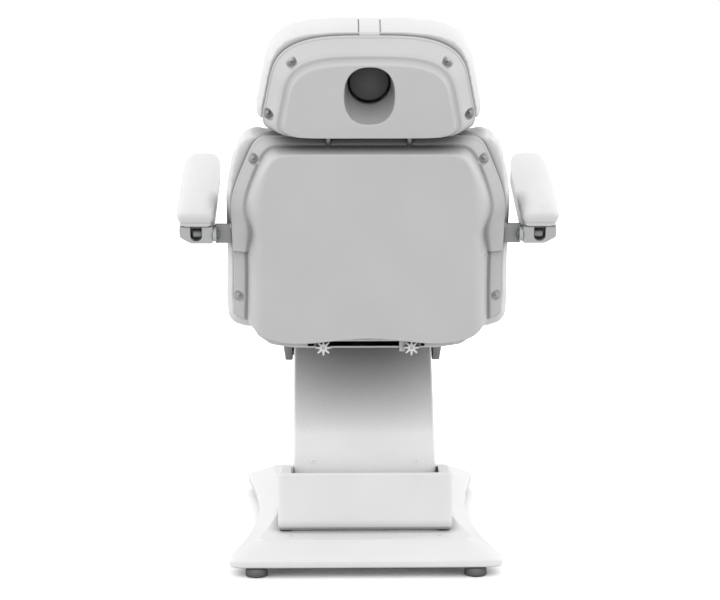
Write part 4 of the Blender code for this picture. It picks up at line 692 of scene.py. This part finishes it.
def settle(made):
    """Applies the modifiers of a piece to its mesh."""
    graph = bpy.context.evaluated_depsgraph_get()
    mesh = bpy.data.meshes.new_from_object(made.evaluated_get(graph), depsgraph=graph)
    old, made.data = made.data, mesh
    made.modifiers.clear()
    bpy.data.meshes.remove(old)


def swell(made, held, away, limit, soft):
    """Fills a cushion: its skin is cloth under pressure, held by the vertices in held. No point moves further than
    limit, and it moves less across than along away, because the cover is cut to shape at its sides."""
    scene = bpy.context.scene
    group = made.vertex_groups.new(name="held")
    group.add(np.flatnonzero(held).tolist(), 1.0, "REPLACE")
    cloth = made.modifiers.new("Fill", "CLOTH")
    for name, value in (("quality", 4), ("mass", 0.3), ("tension_stiffness", 12.0), ("compression_stiffness", 12.0),
                        ("bending_stiffness", 2.0), ("use_pressure", True),
                        ("uniform_pressure_force", soft.pressure), ("vertex_group_mass", "held")):
        setattr(cloth.settings, name, value)
    cloth.settings.effector_weights.gravity = 0.0
    cloth.collision_settings.use_collision = False
    cloth.point_cache.frame_start = 1
    cloth.point_cache.frame_end = soft.frames
    for number in range(1, soft.frames + 1):
        scene.frame_set(number)
    start = coordinates(made.data)
    filled = made.evaluated_get(bpy.context.evaluated_depsgraph_get())
    move = coordinates(filled.to_mesh()) - start
    filled.to_mesh_clear()
    rise = (move @ away)[:, None] * away
    move = rise + soft.side_share * (move - rise)
    far = np.linalg.norm(move, axis=1)
    move = move * (limit * np.tanh(far / limit) / np.maximum(far, 1e-9))[:, None]
    made.modifiers.clear()
    made.vertex_groups.clear()
    move_to(made.data, start + move)
    scene.frame_set(1)


def cushion(name, node, body, away, soft, voxel, limit, axes=(), seams=(0.86,), corners=0.045):
    """A filled cushion over a soft solid: the solid's mesh in small even faces, a little smaller, smoothed, swollen
    and sewn. Away is the way from its board to its face, axes are lines along x (y, z, radius) round which it keeps
    its shape, and seams are shares of its thickness. It keeps the solid's length, width and height, and its corners
    stand out by the share corners."""
    away, board, tuck_high, least_reach = np.asarray(away, float), 0.010, 0.04, 0.03
    made = bpy.data.objects.new(name, frame["nodes"][node].data.copy())
    bpy.context.scene.collection.objects.link(made)
    even = made.modifiers.new("Even", "REMESH")
    even.mode, even.voxel_size = "VOXEL", voxel
    smooth = made.modifiers.new("Smooth", "SMOOTH")
    smooth.factor, smooth.iterations = 0.5, 3
    settle(made)
    places = coordinates(made.data)
    level = places @ away
    base, face = level.min(), level.max()
    middle = (places.min(axis=0) + places.max(axis=0)) / 2
    reach = np.maximum(places.max(axis=0) - middle, 1e-6)
    near = np.zeros(len(places), dtype=bool)
    for y, z, radius in axes:
        near |= np.hypot(places[:, 1] - y, places[:, 2] - z) < radius
    own = np.array([(1.0, 0.0, 0.0), away, np.cross((1.0, 0.0, 0.0), away)])
    solid = places @ own.T
    move_to(made.data, middle + (places - middle) * (1 - soft.shrink / np.maximum(reach, least_reach)))
    swell(made, near | (level < base + board), away, limit, soft)
    filled = coordinates(made.data) @ own.T
    plan = 2 * (filled - filled.min(axis=0)) / np.ptp(filled, axis=0) - 1
    corner = corners * np.abs(plan[:, [2, 0]]) ** 3 * plan[:, [0, 2]]
    filled[:, [0, 2]] += corner * np.ptp(filled, axis=0)[[0, 2]] / 2
    part = (filled - filled.min(axis=0)) / np.ptp(filled, axis=0)
    move_to(made.data, (solid.min(axis=0) + part * np.ptp(solid, axis=0)) @ own)
    finer = made.modifiers.new("Finer", "SUBSURF")
    finer.levels = finer.render_levels = 1
    settle(made)
    places, normals = coordinates(made.data), vectors(made.data.vertex_normals, "vector")
    height = places @ away - base
    flatness = 1 - np.abs(normals @ away)
    for seam in seams:
        off = (height - seam * (face - base)) / soft.seam_width
        places -= normals * (soft.seam_depth * flatness * np.exp(-off ** 2))[:, None]
    sideways = normals - (normals @ away)[:, None] * away
    places -= sideways * (soft.tuck * np.clip(1 - height / tuck_high, 0.0, 1.0) ** 2)[:, None]
    places += away * np.maximum(base - places @ away, 0.0)[:, None]
    move_to(made.data, places)
    smooth_faces(made.data)
    made.data.materials.clear()
    made.data.materials.append(finish("white_vinyl"))
    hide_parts(node)
    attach(made, body)


# Screw heads: pairs of radius and height in metres, from the middle of the face outwards
SCREWS = {
    "arm": ((0.0, 0.0002), (0.0022, 0.0002), (0.0026, 0.0013), (0.0055, 0.0013), (0.0068, 0.0), (0.0, -0.0002)),
    "base": ((0.0, 0.0003), (0.0020, 0.0003), (0.0024, 0.0014), (0.0050, 0.0014), (0.0065, 0.0), (0.0, -0.0002)),
    "pocket": ((0.0, 0.0004), (0.0012, 0.0004), (0.0016, 0.0022), (0.0030, 0.0021), (0.0042, 0.0012), (0.0045, 0.0),
               (0.0, 0.0)),
    "armrest": ((0.0, 0.006), (0.003, 0.006), (0.0032, 0.0035), (0.0065, 0.0035), (0.0072, 0.002), (0.0072, 0.0),
                (0.0, 0.0)),
}


# Operators

class BED_OT_finishes(bpy.types.Operator):
    """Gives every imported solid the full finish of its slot"""

    bl_idname = "bed.finishes"
    bl_label = "Finishes"

    def execute(self, context):
        # Pieces deep under the seat and backrest get the copy of their finish whose painted shade reaches further
        deep = ("head_post", "seat_shell", "seat_cross", "seat_rail", "back_cross", "back_rail", "back_lever",
                "back_motor", "back_rod", "leg_")
        for node in frame["nodes"].values():
            for index, slot in enumerate(node.material_slots):
                name = slot.material.name.split(".")[0]
                if name not in SLOTS:
                    raise ValueError(f"no finish for {name}")
                node.material_slots[index].material = finish(name, node.name.startswith(deep))
        return {"FINISHED"}


class BED_OT_back_shell(bpy.types.Operator):
    """Makes the moulded shell behind the backrest"""

    bl_idname = "bed.back_shell"
    bl_label = "Back Shell"

    def execute(self, context):
        back = context.scene.bed_back
        x, y, z = back_shell_surface(back)
        new_piece("back_shell_moulded", leaned(x, y, z), grid_faces(*x.shape, False), "pale_grey_shell", "back",
                  "back_shell", facing=(0, -1, 0), wall=back.wall)
        return {"FINISHED"}


class BED_OT_head_shell(bpy.types.Operator):
    """Makes the moulded shell behind the headrest, with its face slot"""

    bl_idname = "bed.head_shell"
    bl_label = "Head Shell"

    def execute(self, context):
        back, head = context.scene.bed_back, context.scene.bed_head
        x, y, z = head_shell_surface(back, head)
        new_piece("head_shell_moulded", leaned(x, y, z), grid_faces(*x.shape, True), "pale_grey_shell", "headrest",
                  "head_shell", facing=(0, -1, 0), wall=back.wall)
        return {"FINISHED"}


class BED_OT_cushions(bpy.types.Operator):
    """Fills the cushions, the armrest pads and the neck pillow"""

    bl_idname = "bed.cushions"
    bl_label = "Cushions"

    def execute(self, context):
        soft, lean = context.scene.bed_soft, context.scene.bed_back.lean
        front = (0.0, math.cos(lean), math.sin(lean))
        over = (0.0, -math.sin(lean), math.cos(lean))
        hinge, knee = joint_place("back_recline"), joint_place("leg_lower")
        cushion("back_cushion_filled", "back_cushion", "back", front, soft, soft.voxel, soft.swell,
                axes=((hinge[1], hinge[2], 0.044),))
        cushion("head_cushion_filled", "head_cushion", "headrest", front, soft, 0.005, soft.small_swell)
        cushion("seat_cushion_filled", "seat_cushion", "seat", (0, 0, 1), soft, soft.voxel, soft.swell,
                axes=((hinge[1], hinge[2], 0.060), (knee[1], knee[2], 0.060)))
        cushion("leg_cushion_filled", "leg_cushion", "legrest", (0, 0, 1), soft, soft.voxel, soft.swell,
                axes=((knee[1], knee[2], 0.044),))
        for side in ("left", "right"):
            cushion(f"armrest_pad_{side}_filled", f"armrest_pad_{side}", f"armrest_{side}", over, soft, 0.004,
                    soft.small_swell, seams=(0.2,))
        cushion("neck_pillow_filled", "neck_pillow", "pillow", front, soft, 0.004, soft.small_swell,
                seams=(0.5,), corners=0.0)
        return {"FINISHED"}


class BED_OT_base(bpy.types.Operator):
    """Makes the moulded base cover and the levelling feet"""

    bl_idname = "bed.base"
    bl_label = "Base"

    def execute(self, context):
        base = context.scene.bed_base
        self.cover(base)
        for end in ("rear", "front"):
            for _, side in SIDES:
                self.foot(base, f"foot_{end}_{side}")
        return {"FINISHED"}

    def cover(self, base):
        """The cover: a profile of inset and height, each row a superellipse whose sides draw in to a waist by
        |2y/length - 1|^1.8, then rows of the flat top towards the opening under the pivot housing."""
        count, power = 960, 20
        profile = fillet([(0.014, base.rim_low + 0.001), (0.0, base.rim_low), (0.0, base.rim_top),
                          (base.ramp, base.top - 0.003), (base.ramp + 0.002, base.top),
                          (base.ramp + 0.020, base.top)], base.edge)

        def half(y):
            end = np.where(y < base.span / 2, base.rear_half, base.front_half)
            waist = np.abs(2 * y / base.span - 1) ** 1.8
            return base.waist_half + (end - base.waist_half) * np.clip(waist, 0.0, 1.0)

        x, y, z = [], [], []
        for inset, level in profile:
            ring = outline(inset, base.span - inset, lambda at, inset=inset: half(at) - inset, (power, power),
                           6 * count)
            row_x, row_y = evenly(*ring, count + 1)
            x.append(row_x[:-1])
            y.append(row_y[:-1])
            z.append(np.full(count, level))
        middle, tall = (base.box_rear + base.box_front) / 2, (base.box_front - base.box_rear) / 2
        last_x, last_y = x[-1], y[-1]
        reach = ((np.abs(last_x) / base.box_half) ** power + (np.abs(last_y - middle) / tall) ** power) ** (1 / power)
        for part in np.linspace(0, 1, 13)[1:]:
            x.append(last_x * (1 - part + part / reach))
            y.append(middle + (last_y - middle) * (1 - part + part / reach))
            z.append(np.full(count, base.top))
        points = np.stack([x, np.array(y) - base.centre, z], axis=-1)
        new_piece("base_cover_moulded", points, grid_faces(*points.shape[:2], True), "white_plastic", "base",
                  "base_cover", facing=(0, 0, 1), wall=base.wall)

    def foot(self, base, node):
        """A levelling foot: a round disc that narrows to its top."""
        low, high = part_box(node)
        radius, tall = base.foot_radius, base.foot_height
        rounded = fillet([(0.3 * radius, 0.0), (radius, 0.0), (radius, tall), (0.93 * radius, high.z - 0.001),
                          (0.3 * radius, high.z)], 0.004)
        lathe(f"{node}_turned", [(0.0, 0.0), *rounded, (0.0, high.z)], (0, 0, 1),
              ((low.x + high.x) / 2, (low.y + high.y) / 2, 0.0), "foot_rubber", "base", node)


class BED_OT_head_fittings(bpy.types.Operator):
    """Makes the face plug and the pillow strap"""

    bl_idname = "bed.head_fittings"
    bl_label = "Head Fittings"

    def execute(self, context):
        head = context.scene.bed_head
        _, along, _ = upright(coordinates(frame["nodes"]["face_plug"].data))
        radius, rear, front = head.plug_radius, along.min(), along.max()
        rounded = fillet([(0.3 * radius, rear + 0.0015), (radius, rear), (radius, front), (0.3 * radius, front)], 0.005)
        lathe("face_plug_turned", [(0.0, rear + 0.002), *rounded, (0.0, front)], -rearwards(),
              leaned(0.0, 0.0, head.hole_height), "dark_foam", "face_plug", "face_plug", 96)
        self.strap(head, bpy.data.objects["head_cushion_filled"].data)
        return {"FINISHED"}

    def strap(self, head, mesh):
        """Presses the strap's groove into the head cushion's mesh, then lays the strap in it: a flat band with round
        edges along the cushion's own outline in the middle plane, from the pillow over the top to the shell. The
        outline is the furthest point in each step of the angle round the strap's centre, smoothed over 7 steps."""
        groove_soft, groove_rear, steps, smooth, centre = 0.0035, -0.049, 120, 7, head.strap_centre
        places, normals = coordinates(mesh), vectors(mesh.vertex_normals, "vector")
        x, y, z = upright(places)
        sunk = 1 - ease((np.abs(x) - head.strap_half - 0.0008) / groove_soft)
        places -= normals * (head.strap_thick * 1.5 * sunk * (y > groove_rear))[:, None]
        move_to(mesh, places)
        x, y, z = upright(places)
        near = (np.abs(x) < head.strap_half) & (z > head.hole_height + 0.05)
        turn = np.linspace(-0.25, math.pi - 0.28, 90)
        bins = np.clip(np.searchsorted(turn, np.arctan2(z[near] - centre, y[near])), 0, len(turn) - 1)
        reach = np.zeros(len(turn))
        np.maximum.at(reach, bins, np.hypot(z[near] - centre, y[near]))
        known = reach > 0.02
        reach = np.interp(turn, turn[known], reach[known])
        reach = np.convolve(np.pad(reach, smooth // 2, mode="edge"), np.ones(smooth) / smooth, mode="valid")
        path_y, path_z = evenly(reach * np.cos(turn), centre + reach * np.sin(turn), steps)
        along_y, along_z = np.gradient(path_y), np.gradient(path_z)
        size = np.hypot(along_y, along_z)
        out_y, out_z = along_z / size, -along_y / size
        flip = np.sign(np.mean(out_y * path_y + out_z * (path_z - centre)))
        half, thick = head.strap_half, head.strap_thick
        section = fillet([(0.0, 0.0), (half, 0.0), (half, thick), (-half, thick), (-half, 0.0), (0.0, 0.0)],
                         0.0011, 4)[:-1]
        lift = flip * (section[:, 1] + 0.0004)
        points = leaned(section[:, 0], path_y[:, None] + out_y[:, None] * lift,
                        path_z[:, None] + out_z[:, None] * lift)
        first, last = (np.broadcast_to(points[end].mean(axis=0), points[:1].shape) for end in (0, -1))
        points = np.concatenate([first, points, last])
        new_piece("pillow_strap_band", points, grid_faces(*points.shape[:2], True), "white_vinyl", "pillow",
                  "pillow_strap")


class BED_OT_housings(bpy.types.Operator):
    """Makes the armrest housings with their hubs, and the screw in each housing's rear end"""

    bl_idname = "bed.housings"
    bl_label = "Armrest Housings"

    def execute(self, context):
        for side, name in SIDES:
            self.housing(context.scene.bed_arm, side, name)
        return {"FINISHED"}

    def housing(self, arm, side, name):
        """A housing: a box section with a slanting cut, run from end to end, where rows draw in to a middle point.
        The rear rows dip into a recess, a slot with a round foot that is open upwards."""
        node, body = f"armrest_housing_{name}", f"armrest_{name}"
        rear_rows, side_rows, front_rows, end_share, recess_soft = 60, 24, 12, 0.94, 0.0012
        x, y, z = upright(coordinates(frame["nodes"][node].data))
        low, top, rear, front = z.min(), z.max(), y.min(), y.max()
        inner, outer = side * np.abs(x).min(), side * np.abs(x).max()
        mid_x, mid_z = (inner + outer) / 2, (low + top) / 2
        section = fillet([(mid_x, low), (outer - side * arm.cut_wide, low), (outer, low + arm.cut_high), (outer, top),
                          (inner, top), (inner, low), (mid_x, low)], arm.edge, 8)
        sec_x, sec_z = (part[:-1] for part in evenly(*section.T, 241))
        round_share, round_way = np.array([0.965, 0.985, 0.996]), np.array([0.0022, 0.0009, 0.0002])
        shrink = np.concatenate([np.linspace(0, end_share, rear_rows), round_share, np.ones(side_rows),
                                 round_share[::-1], np.linspace(end_share, 0, front_rows)])[:, None]
        along = np.concatenate([np.full(rear_rows, rear), rear + round_way[::-1],
                                np.linspace(rear + 0.004, front - 0.004, side_rows), front - round_way,
                                np.full(front_rows, front)])[:, None]
        grid_x, grid_z = mid_x + (sec_x - mid_x) * shrink, mid_z + (sec_z - mid_z) * shrink
        level = grid_z - (mid_z - 0.002)
        off = np.where(level > 0, np.abs(grid_x - mid_x), np.hypot(grid_x - mid_x, level))
        recess = (ease((arm.recess - off) / recess_soft + 0.5)
                  * ease((top - 0.002 - grid_z) / recess_soft + 0.5))
        grid_y = along + arm.recess_depth * recess * (along < rear + 0.001)
        new_piece(f"{node}_moulded", leaned(grid_x, grid_y, grid_z), grid_faces(*grid_x.shape, True), "grey_plastic",
                  body, node)
        _, pivot_y, pivot_z = joint_place(f"{body}_swing")
        hub = fillet([(arm.hub_bore, 0.0), (arm.hub, 0.0), (arm.hub, arm.hub_long), (arm.hub_bore, arm.hub_long),
                      (arm.hub_bore, 0.0)], 0.0008, 3)
        lathe(f"armrest_hub_{name}", hub, (-side, 0, 0), (inner + side * 0.0005, pivot_y, pivot_z), "grey_plastic",
              body, across=(0, 1, 0))
        lathe(f"screw_armrest_{name}", SCREWS["armrest"], rearwards(),
              leaned(mid_x, rear + arm.recess_depth, mid_z - 0.001), "motor_black", body, count=32)


class BED_OT_arm_cover(bpy.types.Operator):
    """Makes the folded cover of the lift arm and its screws"""

    bl_idname = "bed.arm_cover"
    bl_label = "Arm Cover"

    def execute(self, context):
        arm, across = context.scene.bed_arm, np.array([1.0, 0.0, 0.0])
        foot, head = joint_place("lift"), joint_place("seat_level")
        span = np.linalg.norm(head - foot)
        way = (head - foot) / span
        over = np.array([0.0, -way[2], way[1]])
        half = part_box("lift_arm_cover")[1].x
        section = fillet([(-half, -arm.cover_side), (-half, arm.cover_top), (half, arm.cover_top),
                          (half, -arm.cover_side)], arm.cover_bend, 10)
        wide, rise = (part[None, :, None] for part in evenly(*section.T, 260))
        along = np.linspace(0.0, span + arm.cover_over, 60)[:, None, None]
        points = foot + along * way + rise * over + wide * across
        # The cover gets the white paint whose painted shade reaches further, so it darkens under the seat and backrest
        new_piece("lift_arm_cover_folded", points, grid_faces(*points.shape[:2], False), "white_paint", "lift_arm",
                  "lift_arm_cover", facing=over, wall=arm.cover_wall, sheltered=True)
        for side, name in SIDES:
            place = foot + arm.screw_up * way + arm.cover_top * over + side * arm.screw_x * across
            lathe(f"screw_arm_{name}", SCREWS["arm"], over, place, "white_paint", "lift_arm", count=32)
        return {"FINISHED"}


class BED_OT_screws(bpy.types.Operator):
    """Puts the screws in the shell pockets and on the base ledge, and the stars on the lever pin"""

    bl_idname = "bed.screws"
    bl_label = "Screws"

    def execute(self, context):
        base, skirt_level, skirt_away = context.scene.bed_base, -0.052, 0.05
        self.stars(context.scene.bed_arm)
        for side, name in SIDES:
            lathe(f"screw_base_{name}", SCREWS["base"], (0, 0, 1),
                  (side * base.screw_x, base.screw_y - base.centre, base.top), "white_plastic", "base", count=32)
        for group, body, centres in (("back", "back", BACK_POCKETS), ("head", "headrest", HEAD_POCKETS)):
            at_x, at_y, at_z = upright(coordinates(bpy.data.objects[f"{group}_shell_moulded"].data))
            for number, (x, z) in enumerate(centres):
                floor = at_y[np.argmin(np.hypot(at_x - x, at_z - z) + skirt_away * (at_y > skirt_level))]
                for side, name in SIDES:
                    lathe(f"screw_{group}_{number}_{name}", SCREWS["pocket"], rearwards(),
                          leaned(side * x, floor + 0.0005, z), "bright_steel", body, count=24)
        return {"FINISHED"}

    def stars(self, arm):
        """A star at each end of the lever pin: its radius is R (1 + lobe cos 8a), its face domed."""
        low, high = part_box("back_lever_pin")
        below, behind = 0.012, 0.010
        turn = np.linspace(0, 2 * np.pi, 144, endpoint=False)
        out = np.array([0.0, 0.2, 0.24, 0.6, 0.85, 0.97, 1.0, 1.0, 0.97, 0.4, 0.0])[:, None]
        level = np.array([0.0085, 0.0085, 0.0100, 0.0098, 0.0085, 0.0065, 0.004, -0.003, -0.005, -0.006,
                          -0.006])[:, None]
        lobed = arm.star * out * (1 + arm.star_lobe * out ** 3 * np.cos(8 * turn))
        for side, name in SIDES:
            x = side * (high.x - arm.star_in) + lobed * np.cos(turn)
            z = low.z - below + lobed * np.sin(turn)
            y = np.broadcast_to(low.y - behind - level, x.shape)
            new_piece(f"lever_star_{name}", np.stack([x, y, z], axis=-1), grid_faces(*x.shape, True),
                      "white_plastic", "back")


class BED_OT_stage(bpy.types.Operator):
    """Sets the camera, the light and the floor"""

    bl_idname = "bed.stage"
    bl_label = "Stage"

    def execute(self, context):
        scene, stage = context.scene, context.scene.bed_stage
        camera = bpy.data.objects.new("camera", bpy.data.cameras.new("camera"))
        camera.data.lens = stage.lens
        camera.data.sensor_width = 36.0
        camera.data.clip_end = 100.0
        camera.location = stage.eye
        camera.rotation_euler = (math.pi / 2 - stage.tilt, 0.0, -stage.turn)
        scene.collection.objects.link(camera)
        scene.camera = camera
        scene.view_settings.view_transform = "Standard"
        self.sky(scene, stage)
        self.floor(scene, stage)
        return {"FINISHED"}

    def show(self, tree, output, lit, seen):
        """Shows the camera one shader, while the other lights the object."""
        camera_ray = shade(tree, "LightPath", "Is Camera Ray", {})
        mixed = shade(tree, "MixShader", "Shader", {0: camera_ray, 1: lit, 2: seen})
        tree.links.new(mixed, tree.nodes.new(output).inputs["Surface"])

    def sky(self, scene, stage):
        """A soft room, brighter at the sides, that the camera sees as white: room + sides x^2."""
        world, white = bpy.data.worlds.new("studio"), (1.0, 1.0, 1.0, 1.0)
        world.use_nodes = True
        scene.world = world
        tree = world.node_tree
        tree.nodes.clear()
        x = shade(tree, "SeparateXYZ", "X", {0: shade(tree, "TexCoord", "Generated", {})})
        square = shade(tree, "Math", "Value", {0: x, 1: x}, operation="MULTIPLY")
        bright = shade(tree, "Math", "Value", {0: square, 1: stage.sides, 2: stage.room}, operation="MULTIPLY_ADD")
        lit = shade(tree, "Background", "Background", {"Color": white, "Strength": bright})
        seen = shade(tree, "Background", "Background", {"Color": white, "Strength": 1.0})
        self.show(tree, "ShaderNodeOutputWorld", lit, seen)

    def floor(self, scene, stage):
        """A white floor that keeps its shadow and is greyer to the light it throws back."""
        far, bright, grey = 40.0, 1.2, stage.ground
        mesh = bpy.data.meshes.new("floor")
        mesh.from_pydata([(-far, -far, 0), (far, -far, 0), (far, far, 0), (-far, far, 0)], [], [(0, 1, 2, 3)])
        made = bpy.data.objects.new("floor", mesh)
        scene.collection.objects.link(made)
        material = bpy.data.materials.new("floor")
        material.use_nodes = True
        tree = material.node_tree
        tree.nodes.clear()
        lit = shade(tree, "BsdfDiffuse", "BSDF", {"Color": (grey, grey, grey, 1.0)})
        seen = shade(tree, "BsdfDiffuse", "BSDF", {"Color": (bright, bright, bright, 1.0)})
        self.show(tree, "ShaderNodeOutputMaterial", lit, seen)
        mesh.materials.append(material)


class BED_PT_panel(bpy.types.Panel):
    """The bed's pieces, in the order in which they are made"""

    bl_idname = "BED_PT_panel"
    bl_label = "Facial Bed"
    bl_space_type = "VIEW_3D"
    bl_region_type = "UI"
    bl_category = "Facial Bed"

    def draw(self, context):
        for operator in OPERATORS:
            self.layout.operator(operator.bl_idname)


OPERATORS = (BED_OT_finishes, BED_OT_back_shell, BED_OT_head_shell, BED_OT_cushions, BED_OT_base,
             BED_OT_head_fittings, BED_OT_housings, BED_OT_arm_cover, BED_OT_screws, BED_OT_stage)


def register():
    for group in (*GROUPS.values(), *OPERATORS, BED_PT_panel):
        bpy.utils.register_class(group)
    for name, group in GROUPS.items():
        setattr(bpy.types.Scene, name, bpy.props.PointerProperty(type=group))


def unregister():
    for name in GROUPS:
        delattr(bpy.types.Scene, name)
    for group in reversed((*GROUPS.values(), *OPERATORS, BED_PT_panel)):
        bpy.utils.unregister_class(group)


def main():
    register()
    bpy.ops.bed.finishes()
    bpy.ops.bed.back_shell()
    bpy.ops.bed.head_shell()
    bpy.ops.bed.cushions()
    bpy.ops.bed.base()
    bpy.ops.bed.head_fittings()
    bpy.ops.bed.housings()
    bpy.ops.bed.arm_cover()
    bpy.ops.bed.screws()
    bpy.ops.bed.stage()


if __name__ == "__main__":
    main()
